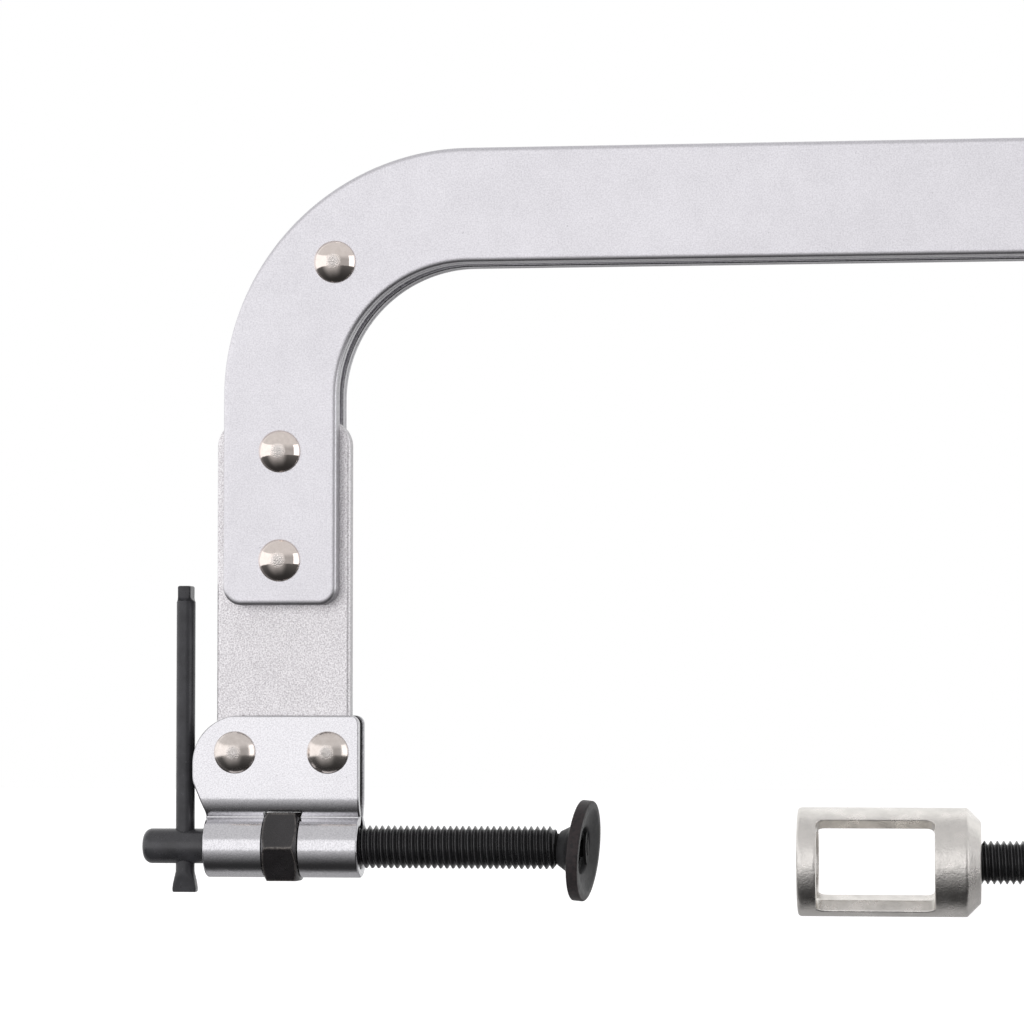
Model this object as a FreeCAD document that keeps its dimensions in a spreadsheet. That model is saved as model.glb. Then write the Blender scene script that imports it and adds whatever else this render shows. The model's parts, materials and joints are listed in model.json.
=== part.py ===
import FreeCAD, Part
import math
import os

import Sketcher
from FreeCAD import Placement, Rotation, Vector

# Valve spring compressor of the C type.
# X runs from the valve head side to the lever side, Y into the frame, Z up to the frame's back.
# The origin is where the axis of the clamp screw meets the face of its swivel pad.

doc = FreeCAD.newDocument("valve_spring_compressor")
sheet = doc.addObject("Spreadsheet::Sheet", "Sizes")
sub_parts = []


class Formula(float):
    """A number that keeps the formula it came from, so that a property can be bound to it."""

    def __new__(cls, value, text):
        number = super().__new__(cls, value)
        number.text = text
        return number

    def joined(self, other, value, pattern):
        return Formula(value, pattern.format(self.text, formula_text(other)))

    def __add__(self, other):
        return self.joined(other, float(self) + other, "({0} + {1})")

    def __radd__(self, other):
        return self.joined(other, other + float(self), "({1} + {0})")

    def __sub__(self, other):
        return self.joined(other, float(self) - other, "({0} - {1})")

    def __rsub__(self, other):
        return self.joined(other, other - float(self), "({1} - {0})")

    def __mul__(self, other):
        return self.joined(other, float(self) * other, "({0} * {1})")

    def __rmul__(self, other):
        return self.joined(other, other * float(self), "({1} * {0})")

    def __truediv__(self, other):
        return self.joined(other, float(self) / other, "({0} / {1})")

    def __neg__(self):
        return Formula(-float(self), f"(0 - {self.text})")


def formula_text(value):
    return value.text if isinstance(value, Formula) else repr(float(value))


def root(value):
    return Formula(math.sqrt(value), f"sqrt({formula_text(value)})")


def size(name, value):
    """Write one driving dimension into the sheet, in millimetres, degrees or a plain count."""
    row = f"A{size.rows}"
    sheet.set(row, str(value))
    sheet.setAlias(row, name)
    size.rows += 1
    return Formula(value, f"Sizes.{name}")


size.rows = 1


def bind(thing, prop, value):
    """Set a property and tie it to its formula."""
    if isinstance(value, Formula):
        thing.setExpression(prop, value.text)
    else:
        setattr(thing, prop, value)


def bind_place(thing, x=0.0, y=0.0, z=0.0):
    thing.Placement = Placement(Vector(x, y, z), thing.Placement.Rotation)
    for axis, value in (("x", x), ("y", y), ("z", z)):
        if isinstance(value, Formula):
            thing.setExpression(f"Placement.Base.{axis}", value.text)


def body(name):
    thing = doc.addObject("PartDesign::Body", name)
    thing.Label = name
    return thing


def sketch_on(owner, plane, lift=0.0):
    """A sketch on one of its body's origin planes, lifted along that plane's normal."""
    sketch = owner.newObject("Sketcher::SketchObject", f"{owner.Name}_sketch")
    planes = {feature.Role: feature for feature in owner.Origin.OriginFeatures}
    sketch.AttachmentSupport = (planes[f"{plane}_Plane"], "")
    sketch.MapMode = "FlatFace"
    sketch.AttachmentOffset = Placement(Vector(0, 0, lift), Rotation())
    if isinstance(lift, Formula):
        sketch.setExpression("AttachmentOffset.Base.z", lift.text)
    return sketch


def hold(sketch, kind, *where, value):
    """Add a dimension to a sketch, bound to its formula when it has one."""
    index = sketch.addConstraint(Sketcher.Constraint(kind, *where, float(value)))
    if isinstance(value, Formula):
        sketch.setExpression(f"Constraints[{index}]", value.text)


def circles(sketch, places):
    """Draw full circles, each from its centre and radius."""
    for u, v, radius in places:
        ring = sketch.addGeometry(Part.Circle(Vector(u, v, 0), Vector(0, 0, 1), float(radius)))
        hold(sketch, "DistanceX", -1, 1, ring, 3, value=u)
        hold(sketch, "DistanceY", -1, 1, ring, 3, value=v)
        hold(sketch, "Radius", ring, value=radius)


def end_near(sketch, curve, point):
    """Which end of a sketch curve lies at the point: 1 for its start, 2 for its end."""
    start = sketch.getPoint(curve, 1)
    finish = sketch.getPoint(curve, 2)
    return 1 if (start - point).Length < (finish - point).Length else 2


def outline(sketch, corners):
    """Close a polygon through the corners, each one (u, v, radius), rounded by its own radius."""
    arrive, leave, arcs = [], [], []
    for index, (u, v, radius) in enumerate(corners):
        here = Vector(u, v, 0)
        back = (Vector(*corners[index - 1][:2], 0) - here).normalize()
        ahead = (Vector(*corners[(index + 1) % len(corners)][:2], 0) - here).normalize()
        if radius > 0:
            half = back.getAngle(ahead) / 2
            reach = radius / math.tan(half)
            inward = (back + ahead).normalize()
            nearest = here + inward * (radius / math.sin(half) - radius)
            arrive.append(here + back * reach)
            leave.append(here + ahead * reach)
            arcs.append(sketch.addGeometry(Part.Arc(arrive[-1], nearest, leave[-1])))
        else:
            arrive.append(here)
            leave.append(here)
            arcs.append(None)
    lines = []
    for index in range(len(corners)):
        following = (index + 1) % len(corners)
        lines.append(sketch.addGeometry(Part.LineSegment(leave[index], arrive[following])))
    for index, (u, v, radius) in enumerate(corners):
        before, after, arc = lines[index - 1], lines[index], arcs[index]
        if arc is None:
            sketch.addConstraint(Sketcher.Constraint("Coincident", before, 2, after, 1))
        else:
            near, far = end_near(sketch, arc, arrive[index]), end_near(sketch, arc, leave[index])
            sketch.addConstraint(Sketcher.Constraint("Tangent", before, 2, arc, near))
            sketch.addConstraint(Sketcher.Constraint("Tangent", arc, far, after, 1))
            hold(sketch, "Radius", arc, value=radius)
        next_u, next_v, _ = corners[(index + 1) % len(corners)]
        if abs(u - next_u) < 1e-9:
            sketch.addConstraint(Sketcher.Constraint("Vertical", after))
            hold(sketch, "DistanceX", -1, 1, after, 1, value=u)
        elif abs(v - next_v) < 1e-9:
            sketch.addConstraint(Sketcher.Constraint("Horizontal", after))
            hold(sketch, "DistanceY", -1, 1, after, 1, value=v)


def chain(sketch, curves):
    """Close a loop of curves drawn end to end."""
    drawn = [sketch.addGeometry(curve) for curve in curves]
    for index, curve in enumerate(drawn):
        following = drawn[(index + 1) % len(drawn)]
        ends = [sketch.getPoint(curve, 1), sketch.getPoint(curve, 2)]
        starts = [sketch.getPoint(following, 1), sketch.getPoint(following, 2)]
        gaps = {(a, b): (ends[a] - starts[b]).Length for a in (0, 1) for b in (0, 1)}
        a, b = min(gaps, key=gaps.get)
        sketch.addConstraint(Sketcher.Constraint("Coincident", curve, a + 1, following, b + 1))
    return drawn


def turned_profile(sketch, points):
    """Close a half section. A point is (along, radius), or (along, radius, bulge) after an arc.

    The bulge is how far the arc that ends at the point stands out to the left of its chord.
    """
    curves = []
    for index, point in enumerate(points):
        start = Vector(*points[index - 1][:2], 0)
        finish = Vector(*point[:2], 0)
        if len(point) == 3:
            chord = finish - start
            side = Vector(-chord.y, chord.x, 0).normalize()
            curves.append(Part.Arc(start, (start + finish) / 2 + side * float(point[2]), finish))
        else:
            curves.append(Part.LineSegment(start, finish))
    drawn = chain(sketch, curves)
    for curve, point in zip(drawn, points):
        place = end_near(sketch, curve, Vector(*point[:2], 0))
        hold(sketch, "DistanceX", -1, 1, curve, place, value=point[0])
        hold(sketch, "DistanceY", -1, 1, curve, place, value=point[1])


def feature(owner, kind, sketch, **settings):
    """Add a PartDesign feature made from a sketch and bind its settings."""
    made = owner.newObject(f"PartDesign::{kind}", f"{owner.Name}_{kind.lower()}")
    made.Profile = sketch
    for prop, value in settings.items():
        bind(made, prop, value)
    return made


def turn(owner, plane, points, angle=360.0, kind="Revolution"):
    """Turn a half section about the first axis of its sketch plane."""
    sketch = sketch_on(owner, plane)
    turned_profile(sketch, points)
    return feature(owner, kind, sketch, ReferenceAxis=(sketch, ["H_Axis"]), Angle=angle)


def through_holes(owner, plane, places, depth):
    sketch = sketch_on(owner, plane)
    circles(sketch, places)
    return feature(owner, "Pocket", sketch, SideType="Symmetric", Length=depth)


def round_edges(owner, base, radius, wanted):
    """Round every edge of the feature that the test picks out."""
    doc.recompute()
    names = [f"Edge{i}" for i, edge in enumerate(base.Shape.Edges, 1) if wanted(edge)]
    made = owner.newObject("PartDesign::Fillet", f"{owner.Name}_fillet")
    made.Base = (base, names)
    bind(made, "Radius", radius)
    return made


def keep(thing):
    sub_parts.append(thing)
    return thing


def keep_group(name, members):
    """Identical loose fasteners share one sub-part as a group of separate solids."""
    group = doc.addObject("Part::Compound", name)
    group.Label = name
    group.Links = members
    return keep(group)


# Frame
plate_width = size("plate_width", 32.0)
plate_thickness = size("plate_thickness", 3.0)
plate_edge_rounding = size("plate_edge_rounding", 0.7)
plate_end_radius = size("plate_end_radius", 5.0)
frame_span = size("frame_span", 264.3)
throat_depth = size("throat_depth", 163.0)
throat_corner_radius = size("throat_corner_radius", 37.0)
plate_leg_end = size("plate_leg_end", 67.6)
pad_reach = size("pad_reach", 86.3)
leg_bar_width = size("leg_bar_width", 38.0)
leg_bar_thickness = size("leg_bar_thickness", 5.5)
leg_bar_top = size("leg_bar_top", 120.0)
leg_bar_corner = size("leg_bar_corner", 7.6)
leg_rivet_low = size("leg_rivet_low", 80.0)
leg_rivet_high = size("leg_rivet_high", 110.5)

# Rivets
rivet_shank_radius = size("rivet_shank_radius", 3.25)
rivet_head_radius = size("rivet_head_radius", 5.9)
rivet_head_height = size("rivet_head_height", 3.1)
rivet_head_edge = size("rivet_head_edge", 0.5)
rivet_clearance = size("rivet_clearance", 0.05)
spacer_radius = size("spacer_radius", 8.0)

# Folded strap brackets
strap_thickness = size("strap_thickness", 2.5)
strap_top = size("strap_top", 36.7)
strap_neck_gap = size("strap_neck_gap", 0.3)
strap_neck_bend = size("strap_neck_bend", 3.0)
strap_half_length = size("strap_half_length", 22.0)
strap_corner = size("strap_corner", 2.5)
strap_bulge_reach = size("strap_bulge_reach", 25.4)
strap_bulge_radius = size("strap_bulge_radius", 13.4)
strap_loop_offset = size("strap_loop_offset", 21.8)
strap_waist_radius = size("strap_waist_radius", 4.0)
strap_shoulder_rise = size("strap_shoulder_rise", 3.5)
strap_shoulder_radius = size("strap_shoulder_radius", 9.0)
strap_rivet_height = size("strap_rivet_height", 26.4)
strap_rivet_spread = size("strap_rivet_spread", 13.2)
bar_end_gap = size("bar_end_gap", 0.5)

# Clamp screw, its nut and its sliding bar
screw_radius = size("screw_radius", 6.0)
screw_running_gap = size("screw_running_gap", 0.08)
strap_screw_gap = size("strap_screw_gap", 0.2)
screw_head_radius = size("screw_head_radius", 4.9)
screw_head_length = size("screw_head_length", 17.0)
screw_head_rounding = size("screw_head_rounding", 2.4)
screw_end_bevel = size("screw_end_bevel", 0.9)
nut_across_flats = size("nut_across_flats", 19.0)
nut_height = size("nut_height", 10.0)
nut_side_gap = size("nut_side_gap", 0.3)
nut_bevel_share = size("nut_bevel_share", 0.96)
bar_radius = size("bar_radius", 2.65)
bar_hole_gap = size("bar_hole_gap", 0.09)
bar_offset = size("bar_offset", 28.4)
bar_top = size("bar_top", 73.2)
bar_bottom = size("bar_bottom", 12.9)
bar_stub_length = size("bar_stub_length", 4.4)
bar_stub_width = size("bar_stub_width", 3.7)
bar_stub_depth = size("bar_stub_depth", 6.2)
bar_flare_length = size("bar_flare_length", 5.8)
bar_flare_width = size("bar_flare_width", 6.8)
bar_flare_depth = size("bar_flare_depth", 3.4)

# Swivel pad and its retaining clip
pad_radius = size("pad_radius", 14.0)
pad_rim_thickness = size("pad_rim_thickness", 3.2)
pad_rim_land = size("pad_rim_land", 2.0)
pad_dish_depth = size("pad_dish_depth", 1.2)
pad_recess_radius = size("pad_recess_radius", 6.4)
pad_recess_depth = size("pad_recess_depth", 2.4)
pad_web_thickness = size("pad_web_thickness", 3.0)
pad_boss_radius = size("pad_boss_radius", 6.5)
pad_hole_radius = size("pad_hole_radius", 4.0)
pad_edge_rounding = size("pad_edge_rounding", 0.5)
pad_lean = size("pad_lean", 5.3)
pad_turn = size("pad_turn", 7.0)
nose_ball_radius = size("nose_ball_radius", 4.0)
nose_ball_gap = size("nose_ball_gap", 0.2)
nose_radius = size("nose_radius", 2.5)
nose_tip_inset = size("nose_tip_inset", 0.15)
clip_thickness = size("clip_thickness", 0.7)
clip_radius = size("clip_radius", 4.7)
clip_groove_depth = size("clip_groove_depth", 0.5)
clip_gap = size("clip_gap", 0.05)
clip_tip_distance = size("clip_tip_distance", 1.35)
clip_opening = size("clip_opening", 40.0)

# Retainer cage
cage_mouth = size("cage_mouth", 57.7)
cage_radius = size("cage_radius", 15.0)
cage_bore_radius = size("cage_bore_radius", 11.0)
cage_ring_length = size("cage_ring_length", 5.3)
cage_window_length = size("cage_window_length", 32.3)
cage_window_half_angle = size("cage_window_half_angle", 57.0)
cage_window_corner = size("cage_window_corner", 2.6)
cage_head_length = size("cage_head_length", 12.6)
cage_head_bevel = size("cage_head_bevel", 3.8)
cage_mouth_rounding = size("cage_mouth_rounding", 0.8)
cage_roll = size("cage_roll", 4.5)

# Ram, guide barrel and return spring
ram_drop = size("ram_drop", 3.5)
ram_radius = size("ram_radius", 6.0)
ram_running_gap = size("ram_running_gap", 0.06)
ram_thread_gap = size("ram_thread_gap", 0.05)
ram_thread_engagement = size("ram_thread_engagement", 11.0)
ram_end_bevel = size("ram_end_bevel", 0.8)
barrel_radius = size("barrel_radius", 10.0)
barrel_fit = size("barrel_fit", 0.05)
barrel_overhang = size("barrel_overhang", 3.5)
barrel_collar_radius = size("barrel_collar_radius", 12.0)
barrel_collar_length = size("barrel_collar_length", 4.0)
barrel_pocket_depth = size("barrel_pocket_depth", 22.0)
barrel_pocket_radius = size("barrel_pocket_radius", 8.8)
ring_thickness = size("ring_thickness", 1.5)
ring_groove_depth = size("ring_groove_depth", 0.8)
ring_height = size("ring_height", 2.0)
ring_side_gap = size("ring_side_gap", 0.1)
spring_wire_radius = size("spring_wire_radius", 0.8)
spring_mean_radius = size("spring_mean_radius", 7.7)
spring_turns = size("spring_turns", 8.0)
spring_seat_radius = size("spring_seat_radius", 8.5)
spring_seat_thickness = size("spring_seat_thickness", 2.5)
spring_seat_spare = size("spring_seat_spare", 1.0)
spring_end_gap = size("spring_end_gap", 0.1)
ram_tail = size("ram_tail", 1.8)

# Cam lever and the plates that carry it
cam_rise_per_radian = size("cam_rise_per_radian", 11.5)
cam_low_radius = size("cam_low_radius", 12.0)
cam_gap = size("cam_gap", 0.15)
lever_throw = size("lever_throw", 110.0)
lever_rest_angle = size("lever_rest_angle", 28.0)
cam_spare_angle = size("cam_spare_angle", 5.0)
lever_thickness = size("lever_thickness", 9.6)
lever_length = size("lever_length", 240.0)
lever_shank = size("lever_shank", 45.0)
lever_tip_half_width = size("lever_tip_half_width", 9.0)
grip_length = size("grip_length", 115.0)
grip_wall = size("grip_wall", 3.2)
grip_side_wall = size("grip_side_wall", 2.9)
grip_fit = size("grip_fit", 0.05)
grip_rounding = size("grip_rounding", 5.0)
grip_flange = size("grip_flange", 2.0)
grip_flange_length = size("grip_flange_length", 6.0)
cheek_thickness = size("cheek_thickness", 4.0)
cheek_inset = size("cheek_inset", 20.0)
cheek_floor = size("cheek_floor", 14.0)
cheek_ram_gap = size("cheek_ram_gap", 1.0)
cheek_back_reach = size("cheek_back_reach", 14.0)
cheek_margin = size("cheek_margin", 9.5)
cheek_corner = size("cheek_corner", 6.0)
pin_radius = size("pin_radius", 5.0)
pin_running_gap = size("pin_running_gap", 0.06)
pin_head_radius = size("pin_head_radius", 8.0)
pin_head_height = size("pin_head_height", 2.5)
pin_tail = size("pin_tail", 3.2)
stop_along_lever = size("stop_along_lever", 25.0)
stop_radius = size("stop_radius", 5.0)
stop_gap = size("stop_gap", 0.1)

# Places that follow from the sizes
anvil_leg_x = -pad_reach
ram_leg_x = frame_span - pad_reach
slot_half = leg_bar_thickness / 2
strap_face = slot_half + strap_thickness
frame_top = throat_depth + plate_width
cut_depth = frame_top
leg_rivet_heights = (leg_rivet_low, leg_rivet_high)
corner_centre_z = throat_depth - throat_corner_radius
corner_centres_x = (
    anvil_leg_x + plate_width / 2 + throat_corner_radius,
    ram_leg_x - plate_width / 2 - throat_corner_radius,
)
corner_rivet_reach = (throat_corner_radius + plate_width / 2) * math.sqrt(0.5)
corner_rivets_at = (
    (corner_centres_x[0] - corner_rivet_reach, corner_centre_z + corner_rivet_reach),
    (corner_centres_x[1] + corner_rivet_reach, corner_centre_z + corner_rivet_reach),
)
rivet_hole_radius = rivet_shank_radius + rivet_clearance
ram_stroke = cam_rise_per_radian * lever_throw * (math.pi / 180)


def frame_plate(name, back_y, rounded_face):
    """One stamped plate: a bar bent round two corners, rounded along the face that shows."""
    plate = body(name)
    left, right = anvil_leg_x - plate_width / 2, ram_leg_x + plate_width / 2
    outer_radius = throat_corner_radius + plate_width
    inner_left, inner_right = left + plate_width, right - plate_width
    sketch = sketch_on(plate, "XZ")
    outline(
        sketch,
        [
            (left, plate_leg_end, plate_end_radius),
            (left, frame_top, outer_radius),
            (right, frame_top, outer_radius),
            (right, plate_leg_end, plate_end_radius),
            (inner_right, plate_leg_end, plate_end_radius),
            (inner_right, throat_depth, throat_corner_radius),
            (inner_left, throat_depth, throat_corner_radius),
            (inner_left, plate_leg_end, plate_end_radius),
        ],
    )
    slab = feature(plate, "Pad", sketch, Length=plate_thickness)
    face_y = -plate_thickness if rounded_face == "front" else 0.0
    round_edges(
        plate,
        slab,
        plate_edge_rounding,
        lambda edge: max(abs(vertex.Y - face_y) for vertex in edge.Vertexes) < 1e-6,
    )
    places = [(x, z, rivet_hole_radius) for x, z in corner_rivets_at]
    for leg_x in (anvil_leg_x, ram_leg_x):
        places += [(leg_x, z, rivet_hole_radius) for z in leg_rivet_heights]
    through_holes(plate, "XZ", places, cut_depth)
    bind_place(plate, y=back_y)
    return keep(plate)


def leg_bar(name, leg_x, foot_z):
    """The plain bar between the plate pairs, which carries a bracket at its foot."""
    bar = body(name)
    half = leg_bar_width / 2
    sketch = sketch_on(bar, "XZ")
    outline(
        sketch,
        [
            (-half, foot_z, 0.0),
            (-half, leg_bar_top, leg_bar_corner),
            (half, leg_bar_top, leg_bar_corner),
            (half, foot_z, 0.0),
        ],
    )
    feature(bar, "Pad", sketch, SideType="Symmetric", Length=leg_bar_thickness)
    places = [(0.0, z, rivet_hole_radius) for z in leg_rivet_heights]
    for side in (-1, 1):
        places.append((strap_rivet_spread * side, strap_rivet_height, rivet_hole_radius))
    through_holes(bar, "XZ", places, cut_depth)
    bind_place(bar, x=leg_x)
    return keep(bar)


def rivet(name, x, z, grip):
    """A rivet set with a domed head at both ends, its grip centred on the frame's middle plane."""
    made = body(name)
    half = grip / 2
    rise = rivet_head_height - rivet_head_edge
    chord = math.hypot(rise, rivet_head_radius)
    dome_radius = chord**2 / (2 * rise)
    bulge = dome_radius - math.sqrt(dome_radius**2 - (chord / 2) ** 2)
    turn(
        made,
        "YZ",
        [
            (-half - rivet_head_height, 0.0),
            (-half - rivet_head_edge, rivet_head_radius, bulge),
            (-half, rivet_head_radius),
            (-half, rivet_shank_radius),
            (half, rivet_shank_radius),
            (half, rivet_head_radius),
            (half + rivet_head_edge, rivet_head_radius),
            (half + rivet_head_height, 0.0, bulge),
        ],
    )
    bind_place(made, x=x, z=z)
    return made


def sleeve(name, x, z, outer, inner, length):
    """A plain tube across the frame."""
    made = body(name)
    half = length / 2
    turn(made, "YZ", [(-half, inner), (-half, outer), (half, outer), (half, inner)])
    bind_place(made, x=x, z=z)
    return made


def strap_bend_height(loop_radius):
    """How far above the loop's axis the flanges of a folded strap start to bend in."""
    middle = loop_radius + strap_thickness / 2
    neck_x = strap_neck_gap + strap_thickness / 2 + strap_neck_bend
    flange_x = slot_half + strap_thickness / 2
    rise_to_neck = root((middle + strap_neck_bend) * (middle + strap_neck_bend) - neck_x * neck_x)
    reach = flange_x + strap_neck_bend
    return rise_to_neck, rise_to_neck + root(reach * reach - neck_x * neck_x)


def folded_strap(made, loop_radius, axis_z, ends, left, right):
    """Half of the folded section, drawn across the strap, padded along it and mirrored.

    The sheet comes down beside the leg bar, pinches in to a neck and turns round the loop.
    """
    neck_height, bend_height = strap_bend_height(loop_radius)
    neck_x = strap_neck_gap + strap_thickness / 2 + strap_neck_bend
    neck = Vector(-neck_x, axis_z + neck_height, 0)
    bend = Vector(0, axis_z + bend_height, 0)
    loop = Vector(0, axis_z, 0)
    flange_middle = slot_half + strap_thickness / 2
    to_bend = (bend - neck).normalize()
    to_loop = (loop - neck).normalize()

    def bend_arc(centre, radius, first, second):
        middle = (first + second).normalize()
        points = [centre + direction * float(radius) for direction in (first, middle, second)]
        return Part.Arc(*points)

    def side_curves(offset):
        """The three arcs of one face of the sheet, from the flange to the foot of the loop."""
        flange = float(flange_middle + offset)
        throat = float(strap_neck_bend - offset)
        ring = float(loop_radius + strap_thickness / 2 + offset)
        foot = loop + Vector(-1, -1, 0).normalize() * ring
        upper = bend_arc(bend, flange, Vector(-1, 0, 0), -to_bend)
        waist = bend_arc(neck, throat, to_bend, to_loop)
        lower = Part.Arc(loop - to_loop * ring, foot, loop + Vector(0, -ring, 0))
        return upper, waist, lower

    half_sheet = strap_thickness / 2
    inner = side_curves(-half_sheet)
    outer = side_curves(half_sheet)
    top_inner = Vector(-slot_half, strap_top, 0)
    top_outer = Vector(-strap_face, strap_top, 0)
    sketch = sketch_on(made, "YZ", left)
    foot_inner = loop + Vector(0, -float(loop_radius), 0)
    foot_outer = loop + Vector(0, -float(loop_radius + strap_thickness), 0)
    drawn = chain(
        sketch,
        [
            Part.LineSegment(top_inner, bend + Vector(-slot_half, 0, 0)),
            *inner,
            Part.LineSegment(foot_inner, foot_outer),
            *reversed(outer),
            Part.LineSegment(bend + Vector(-strap_face, 0, 0), top_outer),
            Part.LineSegment(top_outer, top_inner),
        ],
    )
    hold(sketch, "Radius", drawn[3], value=loop_radius)
    hold(sketch, "Radius", drawn[5], value=loop_radius + strap_thickness)
    hold(sketch, "DistanceX", -1, 1, drawn[0], 1, value=-slot_half)
    hold(sketch, "DistanceY", -1, 1, drawn[0], 1, value=strap_top)
    half_strap = feature(made, "Pad", sketch, Length=right - left)
    planes = {item.Role: item for item in made.Origin.OriginFeatures}
    mirror = made.newObject("PartDesign::Mirrored", f"{made.Name}_mirror")
    mirror.Originals = [half_strap]
    mirror.MirrorPlane = (planes["XZ_Plane"], [""])
    made.Tip = mirror
    trim = sketch_on(made, "XZ")
    far = cut_depth / 2
    outline(trim, [(left - far, -far, 0), (right + far, -far, 0), (right + far, far, 0), (left - far, far, 0)])
    outline(trim, ends)
    return feature(made, "Pocket", trim, SideType="Symmetric", Length=cut_depth)


def anvil_bracket():
    """The strap that carries the clamp screw, with a window that traps the nut."""
    made = body("anvil_bracket")
    loop_radius = screw_radius + strap_screw_gap
    left, right = -strap_bulge_reach, strap_half_length
    neck_height, bend_height = strap_bend_height(loop_radius)
    foot = -(loop_radius + strap_thickness * 2)
    outline_ends = [
        (-strap_loop_offset, foot, 0.0),
        (-strap_loop_offset, neck_height + bar_end_gap, strap_waist_radius),
        (left, bend_height + strap_shoulder_rise, strap_shoulder_radius),
        (left, strap_top, strap_bulge_radius),
        (right, strap_top, strap_corner),
        (right, foot, 0.0),
    ]
    folded_strap(made, loop_radius, 0.0, outline_ends, left, right)
    window = sketch_on(made, "XZ")
    half = nut_height / 2 + nut_side_gap
    outline(
        window,
        [
            (-half, foot - strap_thickness, 0.0),
            (-half, nut_across_flats / 2 + nut_side_gap, 0.0),
            (half, nut_across_flats / 2 + nut_side_gap, 0.0),
            (half, foot - strap_thickness, 0.0),
        ],
    )
    feature(made, "Pocket", window, SideType="Symmetric", Length=cut_depth)
    spots = [(strap_rivet_spread * side, strap_rivet_height, rivet_hole_radius) for side in (-1, 1)]
    through_holes(made, "XZ", spots, cut_depth)
    bind_place(made, x=anvil_leg_x)
    return keep(made)


def ram_bracket():
    """The strap that grips the guide barrel."""
    made = body("ram_bracket")
    loop_radius = barrel_radius + barrel_fit
    left, right = -strap_half_length, strap_half_length
    foot = -(ram_drop + loop_radius + strap_thickness * 2)
    ends = [
        (left, foot, 0.0),
        (left, strap_top, strap_corner),
        (right, strap_top, strap_corner),
        (right, foot, 0.0),
    ]
    folded_strap(made, loop_radius, -ram_drop, ends, left, right)
    spots = [(strap_rivet_spread * side, strap_rivet_height, rivet_hole_radius) for side in (-1, 1)]
    through_holes(made, "XZ", spots, cut_depth)
    bind_place(made, x=ram_leg_x)
    return keep(made)


def screw_nut():
    """A plain hexagon nut with its corners turned off at 30 degrees, one corner to the front."""
    made = body("screw_nut")
    corner = nut_across_flats / math.sqrt(3)
    sketch = sketch_on(made, "YZ")
    tips = []
    for index in range(6):
        angle = math.radians(60 * index)
        tips.append(Vector(corner * math.cos(angle), corner * math.sin(angle), 0))
    edges = chain(sketch, [Part.LineSegment(tips[i - 1], tips[i]) for i in range(6)])
    guide = sketch.addGeometry(Part.Circle(Vector(), Vector(0, 0, 1), float(corner)), True)
    sketch.addConstraint(Sketcher.Constraint("Coincident", guide, 3, -1, 1))
    hold(sketch, "Radius", guide, value=corner)
    for edge in edges:
        sketch.addConstraint(Sketcher.Constraint("PointOnObject", edge, 1, guide))
    for edge in edges[1:]:
        sketch.addConstraint(Sketcher.Constraint("Equal", edges[0], edge))
    sketch.addConstraint(Sketcher.Constraint("PointOnObject", edges[0], 2, -1))
    feature(made, "Pad", sketch, SideType="Symmetric", Length=nut_height)
    half = nut_height / 2
    low = nut_across_flats / 2 * nut_bevel_share
    over = corner + 1.0
    fall = (over - low) * math.tan(math.radians(30))
    for side in (-1, 1):
        turn(
            made,
            "XZ",
            [(half * side, low), (half * side, over), ((half - fall) * side, over)],
            kind="Groove",
        )
    through_holes(made, "YZ", [(0.0, 0.0, screw_radius + screw_running_gap)], cut_depth)
    bind_place(made, x=anvil_leg_x)
    return keep(made)


# The pad swings about the centre of the screw's ball nose.
pad_pivot_to_web = nose_ball_radius + nose_ball_gap
pad_pivot_to_face = pad_pivot_to_web + pad_web_thickness + pad_recess_depth
lean, twist = math.radians(pad_lean), math.radians(pad_turn)
pad_normal = Vector(
    math.cos(lean) * math.cos(twist),
    -math.cos(lean) * math.sin(twist),
    -math.sin(lean),
)
pivot_x = -pad_pivot_to_face / pad_normal.x
tommy_x = anvil_leg_x - bar_offset


def anvil_screw():
    """The clamp screw: plain cross-drilled head, threaded shank, ball nose and riveting spigot."""
    made = body("anvil_screw")
    head_start = tommy_x - screw_head_length + bar_radius * 2
    head_end = anvil_leg_x - strap_loop_offset + 1.0
    shank_end = pivot_x + 0.2
    ball_start = root(nose_ball_radius * nose_ball_radius - nose_radius * nose_radius)
    neck = screw_radius - screw_end_bevel
    groove_low = pivot_x + pad_pivot_to_face - clip_tip_distance
    groove_high = groove_low + clip_thickness + clip_gap
    groove_radius = nose_radius - clip_groove_depth
    tip = pivot_x + pad_pivot_to_face - nose_tip_inset
    corner_bulge = screw_head_rounding * (1 - math.sqrt(0.5))
    ball_chord = math.hypot(nose_ball_radius - nose_radius, ball_start)
    ball_bulge = nose_ball_radius - math.sqrt(nose_ball_radius**2 - (ball_chord / 2) ** 2)
    turn(
        made,
        "XZ",
        [
            (head_start, 0.0),
            (head_start, screw_head_radius - screw_head_rounding),
            (head_start + screw_head_rounding, screw_head_radius, corner_bulge),
            (head_end, screw_head_radius),
            (head_end + screw_end_bevel, screw_radius),
            (shank_end - screw_end_bevel * 1.6, screw_radius),
            (shank_end, neck),
            (shank_end, nose_ball_radius),
            (pivot_x + ball_start, nose_radius, ball_bulge),
            (groove_low - clip_gap, nose_radius),
            (groove_low - clip_gap, groove_radius),
            (groove_high, groove_radius),
            (groove_high, nose_radius),
            (tip - 0.3, nose_radius),
            (tip, nose_radius - 0.5),
            (tip, 0.0),
        ],
    )
    through_holes(made, "XY", [(tommy_x, 0.0, bar_radius + bar_hole_gap)], screw_head_radius * 4)
    return keep(made)


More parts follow.
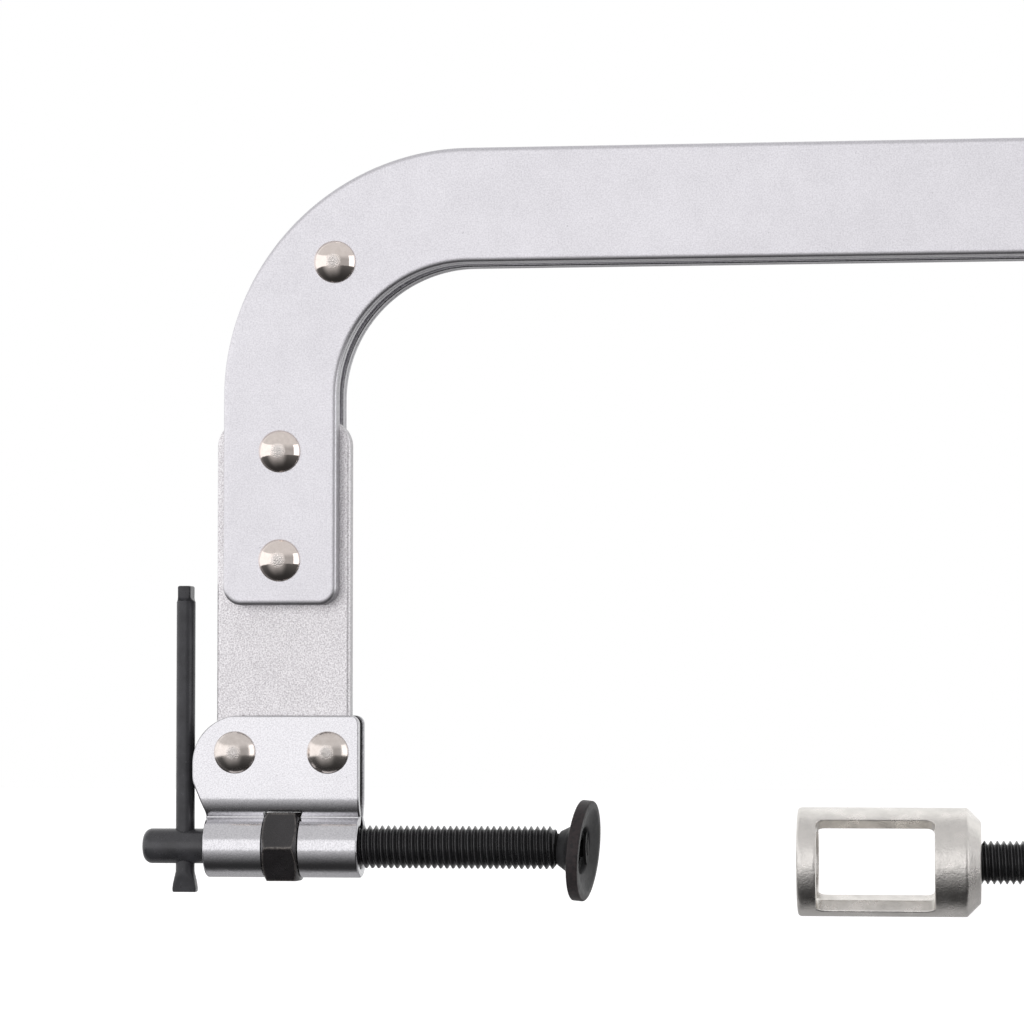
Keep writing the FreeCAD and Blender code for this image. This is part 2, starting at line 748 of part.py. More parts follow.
def split_circle(sketch, radius):
    """A circle cut at its four diagonals, so that a loft can match it to a rectangle."""
    spots = []
    for index in range(8):
        angle = math.radians(45 * index)
        spots.append(Vector(radius * math.cos(angle), radius * math.sin(angle), 0))
    curves = [Part.Arc(spots[i - 1], spots[i], spots[(i + 1) % 8]) for i in range(0, 8, 2)]
    for arc in chain(sketch, curves):
        sketch.addConstraint(Sketcher.Constraint("Coincident", arc, 3, -1, 1))
        if arc == 0:
            hold(sketch, "Radius", arc, value=radius)


def rectangle(sketch, width, depth):
    outline(
        sketch,
        [
            (width / 2, -depth / 2, 0.0),
            (width / 2, depth / 2, 0.0),
            (-width / 2, depth / 2, 0.0),
            (-width / 2, -depth / 2, 0.0),
        ],
    )


def tommy_bar():
    """The sliding bar, squashed flat at both ends so that it can't leave the screw's head."""
    made = body("tommy_bar")
    shank_low, shank_high = -bar_bottom + bar_flare_length, bar_top - bar_stub_length
    base = sketch_on(made, "XY", shank_low)
    circles(base, [(0.0, 0.0, bar_radius)])
    feature(made, "Pad", base, Length=shank_high - shank_low)
    ends = [
        (shank_low, -bar_bottom, bar_flare_width, bar_flare_depth),
        (shank_high, shank_high + bar_radius * 0.6, bar_stub_width, bar_stub_depth),
    ]
    for start, finish, width, depth in ends:
        round_section = sketch_on(made, "XY", start)
        split_circle(round_section, bar_radius)
        flat_section = sketch_on(made, "XY", finish)
        rectangle(flat_section, width, depth)
        loft = made.newObject("PartDesign::AdditiveLoft", "tommy_bar_loft")
        loft.Profile = round_section
        loft.Sections = [flat_section]
        loft.Ruled = True
    stub = sketch_on(made, "XY", shank_high + bar_radius * 0.6)
    rectangle(stub, bar_stub_width, bar_stub_depth)
    feature(made, "Pad", stub, Length=bar_stub_length - bar_radius * 0.6)
    bind_place(made, x=tommy_x)
    return keep(made)


def open_ring(name, x, z, inner, outer, thickness, opening):
    """A sprung ring with a gap, lying across the X axis with its left face at x."""
    made = body(name)
    turn(
        made,
        "XZ",
        [(0.0, inner), (0.0, outer), (thickness, outer), (thickness, inner)],
        angle=360.0 - opening,
    )
    bind_place(made, x=x, z=z)
    return keep(made)


def anvil_pad():
    """The swivel pad: a dished disc with a recess for the riveted nose and a coned boss behind."""
    made = body("anvil_pad")
    face = pad_pivot_to_face
    web_front, web_back = face - pad_recess_depth, pad_pivot_to_web
    land = pad_radius - pad_rim_land
    disc = turn(
        made,
        "XZ",
        [
            (web_back, pad_hole_radius),
            (web_back, pad_boss_radius),
            (face - pad_rim_thickness, pad_radius - pad_edge_rounding * 2),
            (face - pad_rim_thickness, pad_radius),
            (face, pad_radius),
            (face, land),
            (face - pad_dish_depth, pad_recess_radius),
            (web_front, pad_recess_radius),
            (web_front, pad_hole_radius),
        ],
    )

    def on_rim(edge):
        return abs(edge.BoundBox.ZMax - pad_radius) < 1e-6 and edge.BoundBox.XLength < 1e-6

    round_edges(made, disc, pad_edge_rounding, on_rim)
    swing = Rotation(Vector(0, 0, 1), -float(pad_turn)) * Rotation(Vector(0, 1, 0), float(pad_lean))
    made.Placement = Placement(Vector(pivot_x, 0, 0), swing)
    made.setExpression("Placement.Base.x", pivot_x.text)
    return keep(made)


def retainer_cage():
    """The windowed cage that presses the spring retainer and leaves room to reach the collets."""
    made = body("retainer_cage")
    inside = cage_ring_length + cage_window_length
    length = inside + cage_head_length
    bore = ram_radius + ram_thread_gap
    shell = turn(
        made,
        "XZ",
        [
            (0.0, cage_bore_radius),
            (0.0, cage_radius),
            (length - cage_head_bevel, cage_radius),
            (length, cage_radius - cage_head_bevel),
            (length, bore),
            (inside, bore),
            (inside, cage_bore_radius),
        ],
    )

    def at_mouth(edge):
        return abs(edge.BoundBox.ZMax - cage_radius) < 1e-6 and edge.BoundBox.XMax < 1e-6

    round_edges(made, shell, cage_mouth_rounding, at_mouth)
    window = sketch_on(made, "YZ", cage_ring_length)
    spread = math.tan(math.radians(cage_window_half_angle))
    near, far = cage_bore_radius * 0.3, cage_radius * 1.3
    for side in (-1, 1):
        corners = [(near * side, near * spread), (far * side, far * spread)]
        corners += [(far * side, -far * spread), (near * side, -near * spread)]
        tips = [Vector(y, z, 0) for y, z in corners]
        chain(window, [Part.LineSegment(tips[i - 1], tips[i]) for i in range(4)])
    cut = feature(made, "Pocket", window, Length=cage_window_length, Reversed=True)

    def window_corner(edge):
        flat = edge.BoundBox.XLength < 1e-6 and isinstance(edge.Curve, Part.Line)
        return flat and 1.0 < edge.Length < cage_radius

    round_edges(made, cut, cage_window_corner, window_corner)
    made.Placement = Placement(Vector(), Rotation(Vector(1, 0, 0), float(cage_roll)))
    bind_place(made, x=cage_mouth, z=-ram_drop)
    return keep(made)


# The ram and its seats, from the bracket outwards
bracket_end = ram_leg_x + strap_half_length
barrel_start = ram_leg_x - strap_half_length - barrel_overhang
barrel_end = bracket_end + barrel_collar_length
seat_start = barrel_end + spring_seat_spare + ram_stroke
seat_end = seat_start + spring_seat_thickness
ram_end = seat_end + ring_thickness + ring_side_gap + ram_tail
cage_inside_end = cage_mouth + cage_ring_length + cage_window_length
ram_start = cage_inside_end + cage_head_length - ram_thread_engagement
pivot_pin_x = ram_end + cam_gap + cam_low_radius
pivot_pin_z = -ram_drop - cam_rise_per_radian


def guide_barrel():
    """The bored guide for the ram, with a collar and a pocket for the return spring."""
    made = body("guide_barrel")
    bore = ram_radius + ram_running_gap
    groove_end = ram_leg_x - strap_half_length - ring_side_gap
    groove_start = groove_end - ring_thickness - ring_side_gap
    groove = barrel_radius - ring_groove_depth
    turn(
        made,
        "XZ",
        [
            (barrel_start, bore),
            (barrel_start, barrel_radius),
            (groove_start, barrel_radius),
            (groove_start, groove),
            (groove_end, groove),
            (groove_end, barrel_radius),
            (bracket_end, barrel_radius),
            (bracket_end, barrel_collar_radius),
            (barrel_end, barrel_collar_radius),
            (barrel_end, barrel_pocket_radius),
            (barrel_end - barrel_pocket_depth, barrel_pocket_radius),
            (barrel_end - barrel_pocket_depth, bore),
        ],
    )
    bind_place(made, z=-ram_drop)
    return keep(made)


def ram_rod():
    """The sliding ram, threaded for the cage at one end and grooved for its ring at the other."""
    made = body("ram_rod")
    groove = ram_radius - ring_groove_depth
    turn(
        made,
        "XZ",
        [
            (ram_start, 0.0),
            (ram_start, ram_radius - ram_end_bevel),
            (ram_start + ram_end_bevel, ram_radius),
            (seat_end, ram_radius),
            (seat_end, groove),
            (seat_end + ring_thickness + ring_side_gap, groove),
            (seat_end + ring_thickness + ring_side_gap, ram_radius),
            (ram_end - ram_end_bevel / 2, ram_radius),
            (ram_end, ram_radius - ram_end_bevel / 2),
            (ram_end, 0.0),
        ],
    )
    bind_place(made, z=-ram_drop)
    return keep(made)


def spring_seat():
    made = body("spring_seat")
    bore = ram_radius + ram_running_gap
    turn(
        made,
        "XZ",
        [
            (seat_start, bore),
            (seat_start, spring_seat_radius),
            (seat_end, spring_seat_radius),
            (seat_end, bore),
        ],
    )
    bind_place(made, z=-ram_drop)
    return keep(made)


def return_spring():
    """A compression spring round the ram, from the barrel's pocket to the seat."""
    made = body("return_spring")
    start = barrel_end - barrel_pocket_depth + spring_wire_radius + spring_end_gap
    finish = seat_start - spring_wire_radius - spring_end_gap
    wire = sketch_on(made, "XZ")
    circles(wire, [(start, spring_mean_radius, spring_wire_radius)])
    coil = made.newObject("PartDesign::AdditiveHelix", "return_spring_coil")
    coil.Profile = wire
    coil.ReferenceAxis = (wire, ["H_Axis"])
    coil.Mode = "height-turns-angle"
    bind(coil, "Height", finish - start)
    bind(coil, "Turns", spring_turns)
    bind_place(made, z=-ram_drop)
    return keep(made)


def cam_point(angle):
    """A point of the cam's edge, where the outward normal lies at this angle in radians.

    The edge is an involute, so the cam lifts the ram by the same amount for each degree, and
    it always touches at the same height above the pin.
    """
    top = math.radians(180.0 + lever_rest_angle)
    lift = cam_low_radius + cam_rise_per_radian * (top - angle)
    along = Vector(math.cos(angle), math.sin(angle), 0) * float(lift)
    across = Vector(math.sin(angle), -math.cos(angle), 0) * float(cam_rise_per_radian)
    return along + across


def cam_lever():
    """Cam and lever in one forging, drawn with the pin at the centre and the arm along X."""
    made = body("cam_lever")
    low_angle = math.radians(180.0 + lever_rest_angle)
    high_angle = low_angle - math.radians(lever_throw + cam_spare_angle)
    steps = 9
    edge_points = []
    for index in range(steps + 1):
        edge_points.append(cam_point(low_angle + (high_angle - low_angle) * index / steps))
    rise = Part.BSplineCurve()
    rise.interpolate(edge_points)
    foot = Vector(math.cos(low_angle), math.sin(low_angle), 0) * float(cam_low_radius)
    heel = Vector(0, -cam_low_radius, 0)
    belly_angle = (low_angle + math.radians(270)) / 2
    belly = Vector(math.cos(belly_angle), math.sin(belly_angle), 0) * float(cam_low_radius)
    nose = edge_points[-1]
    grip_start = lever_length - grip_length
    tip = lever_tip_half_width
    corners = [
        Vector(lever_shank, -cam_low_radius, 0),
        Vector(grip_start, -tip, 0),
        Vector(lever_length, -tip, 0),
        Vector(lever_length, tip, 0),
        Vector(grip_start, tip, 0),
        Vector(lever_shank, cam_low_radius, 0),
        nose + Vector(cam_rise_per_radian, 0, 0),
    ]
    sketch = sketch_on(made, "XZ")
    runs = [heel, *corners, nose]
    lines = [Part.LineSegment(runs[i], runs[i + 1]) for i in range(len(runs) - 1)]
    chain(
        sketch,
        [rise, Part.LineSegment(edge_points[0], foot), Part.Arc(foot, belly, heel), *lines],
    )
    slab = feature(made, "Pad", sketch, SideType="Symmetric", Length=lever_thickness)

    def across_at(spots):
        def wanted(edge):
            straight = edge.BoundBox.YLength > lever_thickness - 1e-6
            middle = edge.CenterOfMass
            near = [math.hypot(middle.x - spot.x, middle.z - spot.y) < 1e-3 for spot in spots]
            return straight and any(near)

        return wanted

    tips = round_edges(made, slab, tip / 2, across_at([corners[2], corners[3]]))
    elbow = round_edges(made, tips, cam_low_radius, across_at([corners[5]]))
    round_edges(made, elbow, cam_spare_angle / 2, across_at([corners[6]]))
    through_holes(made, "XZ", [(0.0, 0.0, pin_radius + pin_running_gap)], cut_depth)
    return keep(swung_with_lever(made))


def swung_with_lever(made):
    """Lay a piece that is drawn along X onto the lever at rest."""
    made.Placement = Placement(Vector(), Rotation(Vector(0, 1, 0), float(lever_rest_angle)))
    bind_place(made, x=pivot_pin_x, z=pivot_pin_z)
    return made


def lever_grip():
    """The dipped plastic sleeve on the lever's end, closed at the tip and flared at its mouth."""
    made = body("lever_grip")
    start = lever_length - grip_length + grip_flange_length
    finish = lever_length + grip_wall
    half_height = lever_tip_half_width + grip_wall
    half_depth = lever_thickness / 2 + grip_side_wall
    section = sketch_on(made, "YZ", start)
    rectangle(section, half_depth * 2, half_height * 2)
    sleeve_block = feature(made, "Pad", section, Length=finish - start)

    def long_edges(edge):
        return edge.BoundBox.XLength > 1.0

    rounded = round_edges(made, sleeve_block, grip_rounding, long_edges)

    def tip_edges(edge):
        return edge.BoundBox.XMin > finish - 1e-6

    round_edges(made, rounded, grip_rounding / 2, tip_edges)
    flange = sketch_on(made, "YZ", start - grip_flange_length)
    rectangle(flange, (half_depth + grip_flange) * 2, (half_height + grip_flange) * 2)
    flange_block = feature(made, "Pad", flange, Length=grip_flange_length)

    def flange_edges(edge):
        beyond = edge.CenterOfMass.x < start - 1.0
        return beyond and edge.BoundBox.XLength > grip_flange_length - 1e-6

    round_edges(made, flange_block, grip_rounding, flange_edges)
    hollow = sketch_on(made, "YZ", start - grip_flange_length)
    rectangle(
        hollow,
        lever_thickness + grip_fit * 2,
        (lever_tip_half_width + grip_fit) * 2,
    )
    depth = lever_length + grip_fit - start + grip_flange_length
    feature(made, "Pocket", hollow, Length=depth, Reversed=True)
    return keep(swung_with_lever(made))


# The stop sleeve sits just under the lever's straight lower edge.
rest = math.radians(lever_rest_angle)
stop_below = cam_low_radius + stop_radius + stop_gap
stop_x = pivot_pin_x + stop_along_lever * math.cos(rest) - stop_below * math.sin(rest)
stop_z = pivot_pin_z - stop_along_lever * math.sin(rest) - stop_below * math.cos(rest)


def cheek_plate(name, back_y):
    """A side plate riveted outside the ram bracket, which carries the lever's pin and stop."""
    made = body(name)
    left = ram_leg_x - cheek_inset
    shoulder = ram_end + cheek_ram_gap
    right = pivot_pin_x + cheek_back_reach
    sketch = sketch_on(made, "XZ")
    outline(
        sketch,
        [
            (left, strap_top, cheek_corner),
            (left, cheek_floor, cheek_corner / 2),
            (shoulder, cheek_floor, cheek_corner),
            (shoulder, pivot_pin_z - cam_low_radius, cheek_corner),
            (stop_x - cheek_margin, stop_z - cheek_margin, cheek_corner),
            (stop_x + cheek_margin, stop_z - cheek_margin, cheek_corner),
            (right, pivot_pin_z, cheek_corner),
            (right, strap_top, cheek_corner * 2),
        ],
    )
    feature(made, "Pad", sketch, Length=cheek_thickness)
    places = [
        (ram_leg_x + strap_rivet_spread * side, strap_rivet_height, rivet_hole_radius)
        for side in (-1, 1)
    ]
    places.append((pivot_pin_x, pivot_pin_z, pin_radius + pin_running_gap))
    places.append((stop_x, stop_z, rivet_hole_radius))
    through_holes(made, "XZ", places, cut_depth)
    bind_place(made, y=back_y)
    return keep(made)


def lever_pivot_pin():
    """The headed pin through both side plates and the cam, held by a ring behind."""
    made = body("lever_pivot_pin")
    outside = strap_face + cheek_thickness
    groove_start = outside + ring_side_gap
    groove_end = groove_start + ring_thickness + ring_side_gap
    groove = pin_radius - ring_groove_depth
    turn(
        made,
        "YZ",
        [
            (-outside - pin_head_height, 0.0),
            (-outside - pin_head_height, pin_head_radius - rivet_head_edge),
            (-outside - pin_head_height + rivet_head_edge, pin_head_radius),
            (-outside, pin_head_radius),
            (-outside, pin_radius),
            (groove_start, pin_radius),
            (groove_start, groove),
            (groove_end, groove),
            (groove_end, pin_radius),
            (outside + pin_tail, pin_radius),
            (outside + pin_tail, 0.0),
        ],
    )
    bind_place(made, x=pivot_pin_x, z=pivot_pin_z)
    return keep(made)


def pivot_clip():
    made = body("pivot_clip")
    start = strap_face + cheek_thickness + ring_side_gap * 1.5
    inner = pin_radius - ring_groove_depth + clip_gap
    outer = pin_radius + ring_height
    turn(
        made,
        "YZ",
        [(start, inner), (start, outer), (start + ring_thickness, outer), (start + ring_thickness, inner)],
        angle=360.0 - clip_opening,
    )
    bind_place(made, x=pivot_pin_x, z=pivot_pin_z)
    return keep(made)


# Frame plates, front to back
plate_stack = (
    ("frame_plate_front_outer", -slot_half - plate_thickness, "front"),
    ("frame_plate_front_inner", -slot_half, "front"),
    ("frame_plate_rear_inner", slot_half + plate_thickness, "back"),
    ("frame_plate_rear_outer", slot_half + plate_thickness * 2, "back"),
)
for plate_name, plate_back, plate_face in plate_stack:
    frame_plate(plate_name, plate_back, plate_face)

anvil_bend = strap_bend_height(screw_radius + strap_screw_gap)[1]
ram_bend = strap_bend_height(barrel_radius + barrel_fit)[1] - ram_drop
leg_bar("anvil_leg_bar", anvil_leg_x, anvil_bend + bar_end_gap)
leg_bar("ram_leg_bar", ram_leg_x, ram_bend + bar_end_gap)

frame_grip = leg_bar_thickness + plate_thickness * 4
spacer_bore = rivet_shank_radius + rivet_clearance
spacers, corner_rivets = [], []
for side_name, (corner_x, corner_z) in zip(("anvil", "ram"), corner_rivets_at):
    spacers.append(
        sleeve(f"spacer_{side_name}", corner_x, corner_z, spacer_radius, spacer_bore, leg_bar_thickness)
    )
    corner_rivets.append(rivet(f"corner_rivet_{side_name}", corner_x, corner_z, frame_grip))
keep_group("corner_spacers", spacers)
keep_group("corner_rivets", corner_rivets)

bracket_grips = (strap_face * 2, (strap_face + cheek_thickness) * 2)
for side_name, leg_x, bracket_grip in zip(("anvil", "ram"), (anvil_leg_x, ram_leg_x), bracket_grips):
    leg_rivets = [
        rivet(f"{side_name}_leg_rivet", leg_x, height, frame_grip) for height in leg_rivet_heights
    ]
    keep_group(f"{side_name}_leg_rivets", leg_rivets)
    bracket_rivets = []
    for side in (-1, 1):
        spot = leg_x + strap_rivet_spread * side
        bracket_rivets.append(
            rivet(f"{side_name}_bracket_rivet", spot, strap_rivet_height, bracket_grip)
        )
    keep_group(f"{side_name}_bracket_rivets", bracket_rivets)

anvil_bracket()
screw_nut()
ram_bracket()
cheek_plate("fulcrum_plate_front", -strap_face)
cheek_plate("fulcrum_plate_rear", strap_face + cheek_thickness)
guide_barrel()
open_ring(
    "guide_ring",
    ram_leg_x - strap_half_length - ring_side_gap * 1.5 - ring_thickness,
    -ram_drop,
    barrel_radius - ring_groove_depth + clip_gap,
    barrel_radius + ring_height,
    ring_thickness,
    clip_opening,
)
lever_pivot_pin()
pivot_clip()
keep(sleeve("stop_sleeve", stop_x, stop_z, stop_radius, rivet_hole_radius, strap_face * 2))
keep(rivet("stop_rivet", stop_x, stop_z, (strap_face + cheek_thickness) * 2))

anvil_screw()
tommy_bar()
open_ring(
    "pad_clip",
    pivot_x + pad_pivot_to_face - clip_tip_distance,
    0.0,
    nose_radius - clip_groove_depth + clip_gap,
    clip_radius,
    clip_thickness,
    clip_opening,
)
anvil_pad()

ram_rod()
open_ring(
    "ram_ring",
    seat_end + ring_side_gap / 2,
    -ram_drop,
    ram_radius - ring_groove_depth + clip_gap,
    ram_radius + ring_height,
    ring_thickness,
    clip_opening,
)
spring_seat()
return_spring()
retainer_cage()
cam_lever()
lever_grip()

doc.recompute()
for item in doc.Objects:
    if {"Invalid", "Error"} & set(item.State):
        raise RuntimeError(f"{item.Label} failed: {item.State}")

os.makedirs("parts", exist_ok=True)
for item in sub_parts:
    shape = item.Shape
    if shape.isNull() or not shape.isValid() or not shape.Solids:
        raise RuntimeError(f"{item.Label} has no valid solid")
    shape.exportStep(f"parts/{item.Label}.step")
    print(item.Label, len(shape.Solids), round(shape.Volume, 1))
print("ram stroke", round(ram_stroke, 3), "pin at", round(pivot_pin_x, 3), round(pivot_pin_z, 3))
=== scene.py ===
import json
import math

import bmesh
import bpy
from mathutils import Matrix, Vector

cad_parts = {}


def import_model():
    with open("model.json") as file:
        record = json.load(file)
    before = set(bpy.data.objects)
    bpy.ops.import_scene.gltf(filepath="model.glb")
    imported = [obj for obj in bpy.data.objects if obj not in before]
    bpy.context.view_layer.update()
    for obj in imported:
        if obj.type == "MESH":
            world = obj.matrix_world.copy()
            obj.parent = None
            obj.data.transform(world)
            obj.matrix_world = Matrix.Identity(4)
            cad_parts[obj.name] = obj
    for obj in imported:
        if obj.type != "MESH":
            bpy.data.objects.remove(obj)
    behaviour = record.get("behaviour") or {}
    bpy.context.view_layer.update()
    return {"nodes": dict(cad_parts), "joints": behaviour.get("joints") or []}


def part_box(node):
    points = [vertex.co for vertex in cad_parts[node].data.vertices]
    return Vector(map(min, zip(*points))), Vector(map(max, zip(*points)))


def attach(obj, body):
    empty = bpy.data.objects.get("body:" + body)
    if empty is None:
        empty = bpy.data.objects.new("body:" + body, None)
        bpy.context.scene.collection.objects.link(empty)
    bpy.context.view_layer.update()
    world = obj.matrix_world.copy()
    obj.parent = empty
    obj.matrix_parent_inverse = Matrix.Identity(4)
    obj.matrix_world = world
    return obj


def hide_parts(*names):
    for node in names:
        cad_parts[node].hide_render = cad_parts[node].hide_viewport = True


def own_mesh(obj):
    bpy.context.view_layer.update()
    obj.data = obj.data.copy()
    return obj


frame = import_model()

# Valve spring compressor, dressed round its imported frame.
# Lengths are in millimetres until a mesh is made, and MM turns them into metres.

MM = 0.001
nodes = frame["nodes"]
joints = {joint["name"]: joint for joint in frame["joints"]}


def limits(node):
    """A node's lowest and highest corner in millimetres."""
    low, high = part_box(node)
    return low / MM, high / MM


def middle(node):
    low, high = limits(node)
    return (low + high) / 2


# Materials

# Colour of painted shade on zinc: side faces, seams between plates, fold interiors and creases, which on
# sheared edges also stands for thin plating.
SHADE_AND_THIN_PLATING = (0.11, 0.11, 0.115)
THIN_ROUGHNESS = 0.03
CLOUD_SIZE, CLOUD_SHARE = 24.0, 0.10
SPECK_SIZE, SPECK_SHADE = 1.0, 0.55
SMEAR_SIZE = 6.0
WAVE_SIZE = 3.2
SNAP_SPOT = (0.98, 0.94, 0.91)
CAST_PALE, CAST_DARK = (0.88, 0.85, 0.81), (0.76, 0.74, 0.705)
SAND_SIZE, SAND_DEPTH = 0.45, 0.065
RUBBED_BLACK = (0.2, 0.18, 0.165)
BLOOM_SHADE, DUST_SHADE = 1.6, 2.4
VINYL_DARK, VINYL_PALE = (0.025, 0.025, 0.027), (0.045, 0.045, 0.047)


class Graph:
    """A node tree with short calls for the nodes that are used here."""

    def __init__(self, tree):
        self.tree = tree

    def node(self, kind, inputs=None, **settings):
        made = self.tree.nodes.new(kind)
        for key, value in settings.items():
            setattr(made, key, value)
        for key, value in (inputs or {}).items():
            self.feed(made.inputs[key], value)
        return made

    def feed(self, socket, value):
        if isinstance(value, bpy.types.NodeSocket):
            self.tree.links.new(value, socket)
        else:
            socket.default_value = value

    def ramp(self, value, low, high, from_low=0.0, from_high=1.0, smooth=False):
        """Map a value in one range onto another, clamped."""
        ends = {"From Min": from_low, "From Max": from_high, "To Min": low, "To Max": high}
        kind = "SMOOTHSTEP" if smooth else "LINEAR"
        made = self.node("ShaderNodeMapRange", {"Value": value, **ends}, interpolation_type=kind)
        return made.outputs["Result"]

    def math(self, operation, first, second=0.0):
        made = self.node("ShaderNodeMath", {0: first, 1: second}, operation=operation)
        return made.outputs[0]

    def blend(self, share, first, second):
        """Mix two plain numbers."""
        made = self.node("ShaderNodeMix", {0: share, 2: first, 3: second}, data_type="FLOAT")
        return made.outputs[0]

    def mix(self, share, first, second):
        """Mix two colours."""
        made = self.node("ShaderNodeMix", {0: share}, data_type="RGBA")
        for socket, colour in ((made.inputs[6], first), (made.inputs[7], second)):
            self.feed(socket, (*colour, 1.0) if isinstance(colour, tuple) else colour)
        return made.outputs[2]


class Finish(Graph):
    """A surface material's graph: a Principled shader fed by noise in the object's own space."""

    def __init__(self, name):
        self.material = bpy.data.materials.new(name)
        self.material.use_nodes = True
        super().__init__(self.material.node_tree)
        self.shader = self.tree.nodes["Principled BSDF"]
        self.place = self.node("ShaderNodeTexCoord").outputs["Object"]

    def noise(self, size, detail=3.0, rough=0.6):
        """Noise whose features are about this many millimetres wide."""
        inputs = {"Vector": self.place, "Scale": 1 / (size * MM), "Detail": detail, "Roughness": rough}
        return self.node("ShaderNodeTexNoise", inputs).outputs["Fac"]

    def wear_and_shade(self):
        """The mark that a mesh carries where it is rubbed, upset or tooled, and where zinc gets painted
        shade.
        """
        return self.node("ShaderNodeAttribute", attribute_name="wear_and_shade").outputs["Fac"]

    def bump(self, height, depth, after=None):
        """Bump of this depth in millimetres, on top of an earlier one."""
        inputs = {"Height": height, "Distance": depth * MM}
        if after:
            inputs["Normal"] = after
        return self.node("ShaderNodeBump", inputs).outputs["Normal"]

    def finish(self, **inputs):
        for key, value in inputs.items():
            value = (*value, 1.0) if isinstance(value, tuple) else value
            self.feed(self.shader.inputs[key.replace("_", " ")], value)
        return self.material


def satin_zinc(name, pale, dark, roughness, grain_size, grain_share, grain_depth, wave_depth=0.02):
    """Zinc plate over tumbled steel: fine grain, faint clouds and a few darker specks.

    The mesh's mark paints shade on side faces, in seams between plates, inside folds and in creases; on
    sheared edges it also stands for thin plating.
    """
    graph = Finish(name)
    grain = graph.noise(grain_size, detail=2.0, rough=0.5)
    clouds = graph.ramp(graph.noise(CLOUD_SIZE), 0.0, CLOUD_SHARE, 0.35, 0.65)
    share = graph.math("ADD", clouds, graph.ramp(grain, 0.0, grain_share, 0.36, 0.66))
    colour = graph.mix(share, pale, dark)
    specks = graph.ramp(graph.noise(SPECK_SIZE, detail=2.0), 0.0, 0.8, 0.73, 0.8)
    colour = graph.mix(specks, colour, tuple(SPECK_SHADE * part for part in dark))
    # Painted shade: the mark darkens the zinc on side faces, in seams, inside folds and in the crease.
    shade_and_thin = graph.math("MULTIPLY", graph.wear_and_shade(), graph.ramp(graph.noise(0.7), 0.7, 1.0, 0.35, 0.6))
    colour = graph.mix(shade_and_thin, colour, SHADE_AND_THIN_PLATING)
    smears = graph.ramp(graph.noise(SMEAR_SIZE), -0.01, 0.02, 0.3, 0.7)
    smears = graph.math("ADD", smears, graph.math("MULTIPLY", graph.wear_and_shade(), THIN_ROUGHNESS))
    rough = graph.math("ADD", smears, graph.ramp(grain, roughness, roughness + 0.08, 0.3, 0.7))
    waves = graph.bump(graph.noise(WAVE_SIZE, detail=2.0), wave_depth)
    normal = graph.bump(grain, grain_depth, waves)
    return graph.finish(Base_Color=colour, Metallic=1.0, Roughness=rough, Normal=normal)


def polished_nickel(name, pale, dark, roughness):
    """Bright nickel on a rivet's dome, with the pitted spot that the snap leaves in the middle."""
    graph = Finish(name)
    haze = graph.noise(1.4)
    spot = graph.wear_and_shade()
    colour = graph.mix(graph.ramp(haze, 0.0, 1.0, 0.3, 0.7), pale, dark)
    colour = graph.mix(graph.math("MULTIPLY", spot, 0.7), colour, SNAP_SPOT)
    smooth = graph.ramp(haze, roughness, roughness + 0.05, 0.3, 0.7)
    rough = graph.math("ADD", smooth, graph.math("MULTIPLY", spot, 0.16))
    pits = graph.math("MULTIPLY", graph.ramp(graph.noise(0.4, rough=0.7), 0.0, 1.0, 0.35, 0.6), spot)
    normal = graph.bump(pits, 0.10, graph.bump(haze, 0.012))
    return graph.finish(Base_Color=colour, Metallic=1.0, Roughness=rough, Normal=normal)


def cast_nickel(name):
    """Nickel over an as-cast skin: soft waves with patches of deeper pits."""
    graph = Finish(name)
    patches = graph.noise(6.0)
    share = graph.ramp(patches, 0.0, 1.0, 0.35, 0.68)
    colour = graph.mix(share, CAST_PALE, CAST_DARK)
    rough = graph.ramp(patches, 0.24, 0.36, 0.3, 0.7)
    pitted = graph.math("MULTIPLY", graph.noise(0.6, rough=0.65), graph.ramp(patches, 0.35, 1.0, 0.4, 0.65))
    waves = graph.bump(graph.noise(2.6, detail=2.0), 0.07)
    sand = graph.bump(graph.noise(SAND_SIZE, detail=2.0), SAND_DEPTH, waves)
    normal = graph.bump(pitted, 0.13, sand)
    return graph.finish(Base_Color=colour, Metallic=1.0, Roughness=rough, Normal=normal)


def blackened(name, shade, roughness, depth, worn=RUBBED_BLACK, wear_and_shade=0.0, gloss=0.5, metallic=0.25):
    """Blackened steel with a faint bloom, rubbed paler where the mesh carries the wear mark."""
    graph = Finish(name)
    bloom = graph.ramp(graph.noise(6.0), 0.0, 1.0, 0.35, 0.7)
    colour = graph.mix(bloom, shade, tuple(BLOOM_SHADE * part for part in shade))
    dust = graph.ramp(graph.noise(0.8, detail=2.0), 0.0, 1.0, 0.66, 0.76)
    colour = graph.mix(dust, colour, tuple(DUST_SHADE * part for part in shade))
    if wear_and_shade:
        rub = graph.math("MULTIPLY", graph.wear_and_shade(), graph.ramp(graph.noise(0.9), 0.15, 1.0, 0.35, 0.6))
        colour = graph.mix(graph.math("MULTIPLY", rub, wear_and_shade), colour, worn)
    rough = graph.ramp(graph.noise(2.6), roughness - 0.06, roughness + 0.08, 0.3, 0.7)
    normal = graph.bump(graph.noise(0.4), depth)
    look = {"Base_Color": colour, "Roughness": rough, "Normal": normal}
    return graph.finish(Metallic=metallic, Specular_IOR_Level=gloss, **look)


def dipped_vinyl(name):
    """Soft black vinyl, slightly mottled, with the orange peel of a dipped coat."""
    graph = Finish(name)
    skin = graph.noise(1.3, detail=2.0)
    mottle = graph.ramp(graph.noise(14.0), 0.0, 1.0, 0.35, 0.65)
    colour = graph.mix(mottle, VINYL_DARK, VINYL_PALE)
    rough = graph.ramp(skin, 0.36, 0.5, 0.3, 0.7)
    return graph.finish(Base_Color=colour, Roughness=rough, Normal=graph.bump(skin, 0.05))


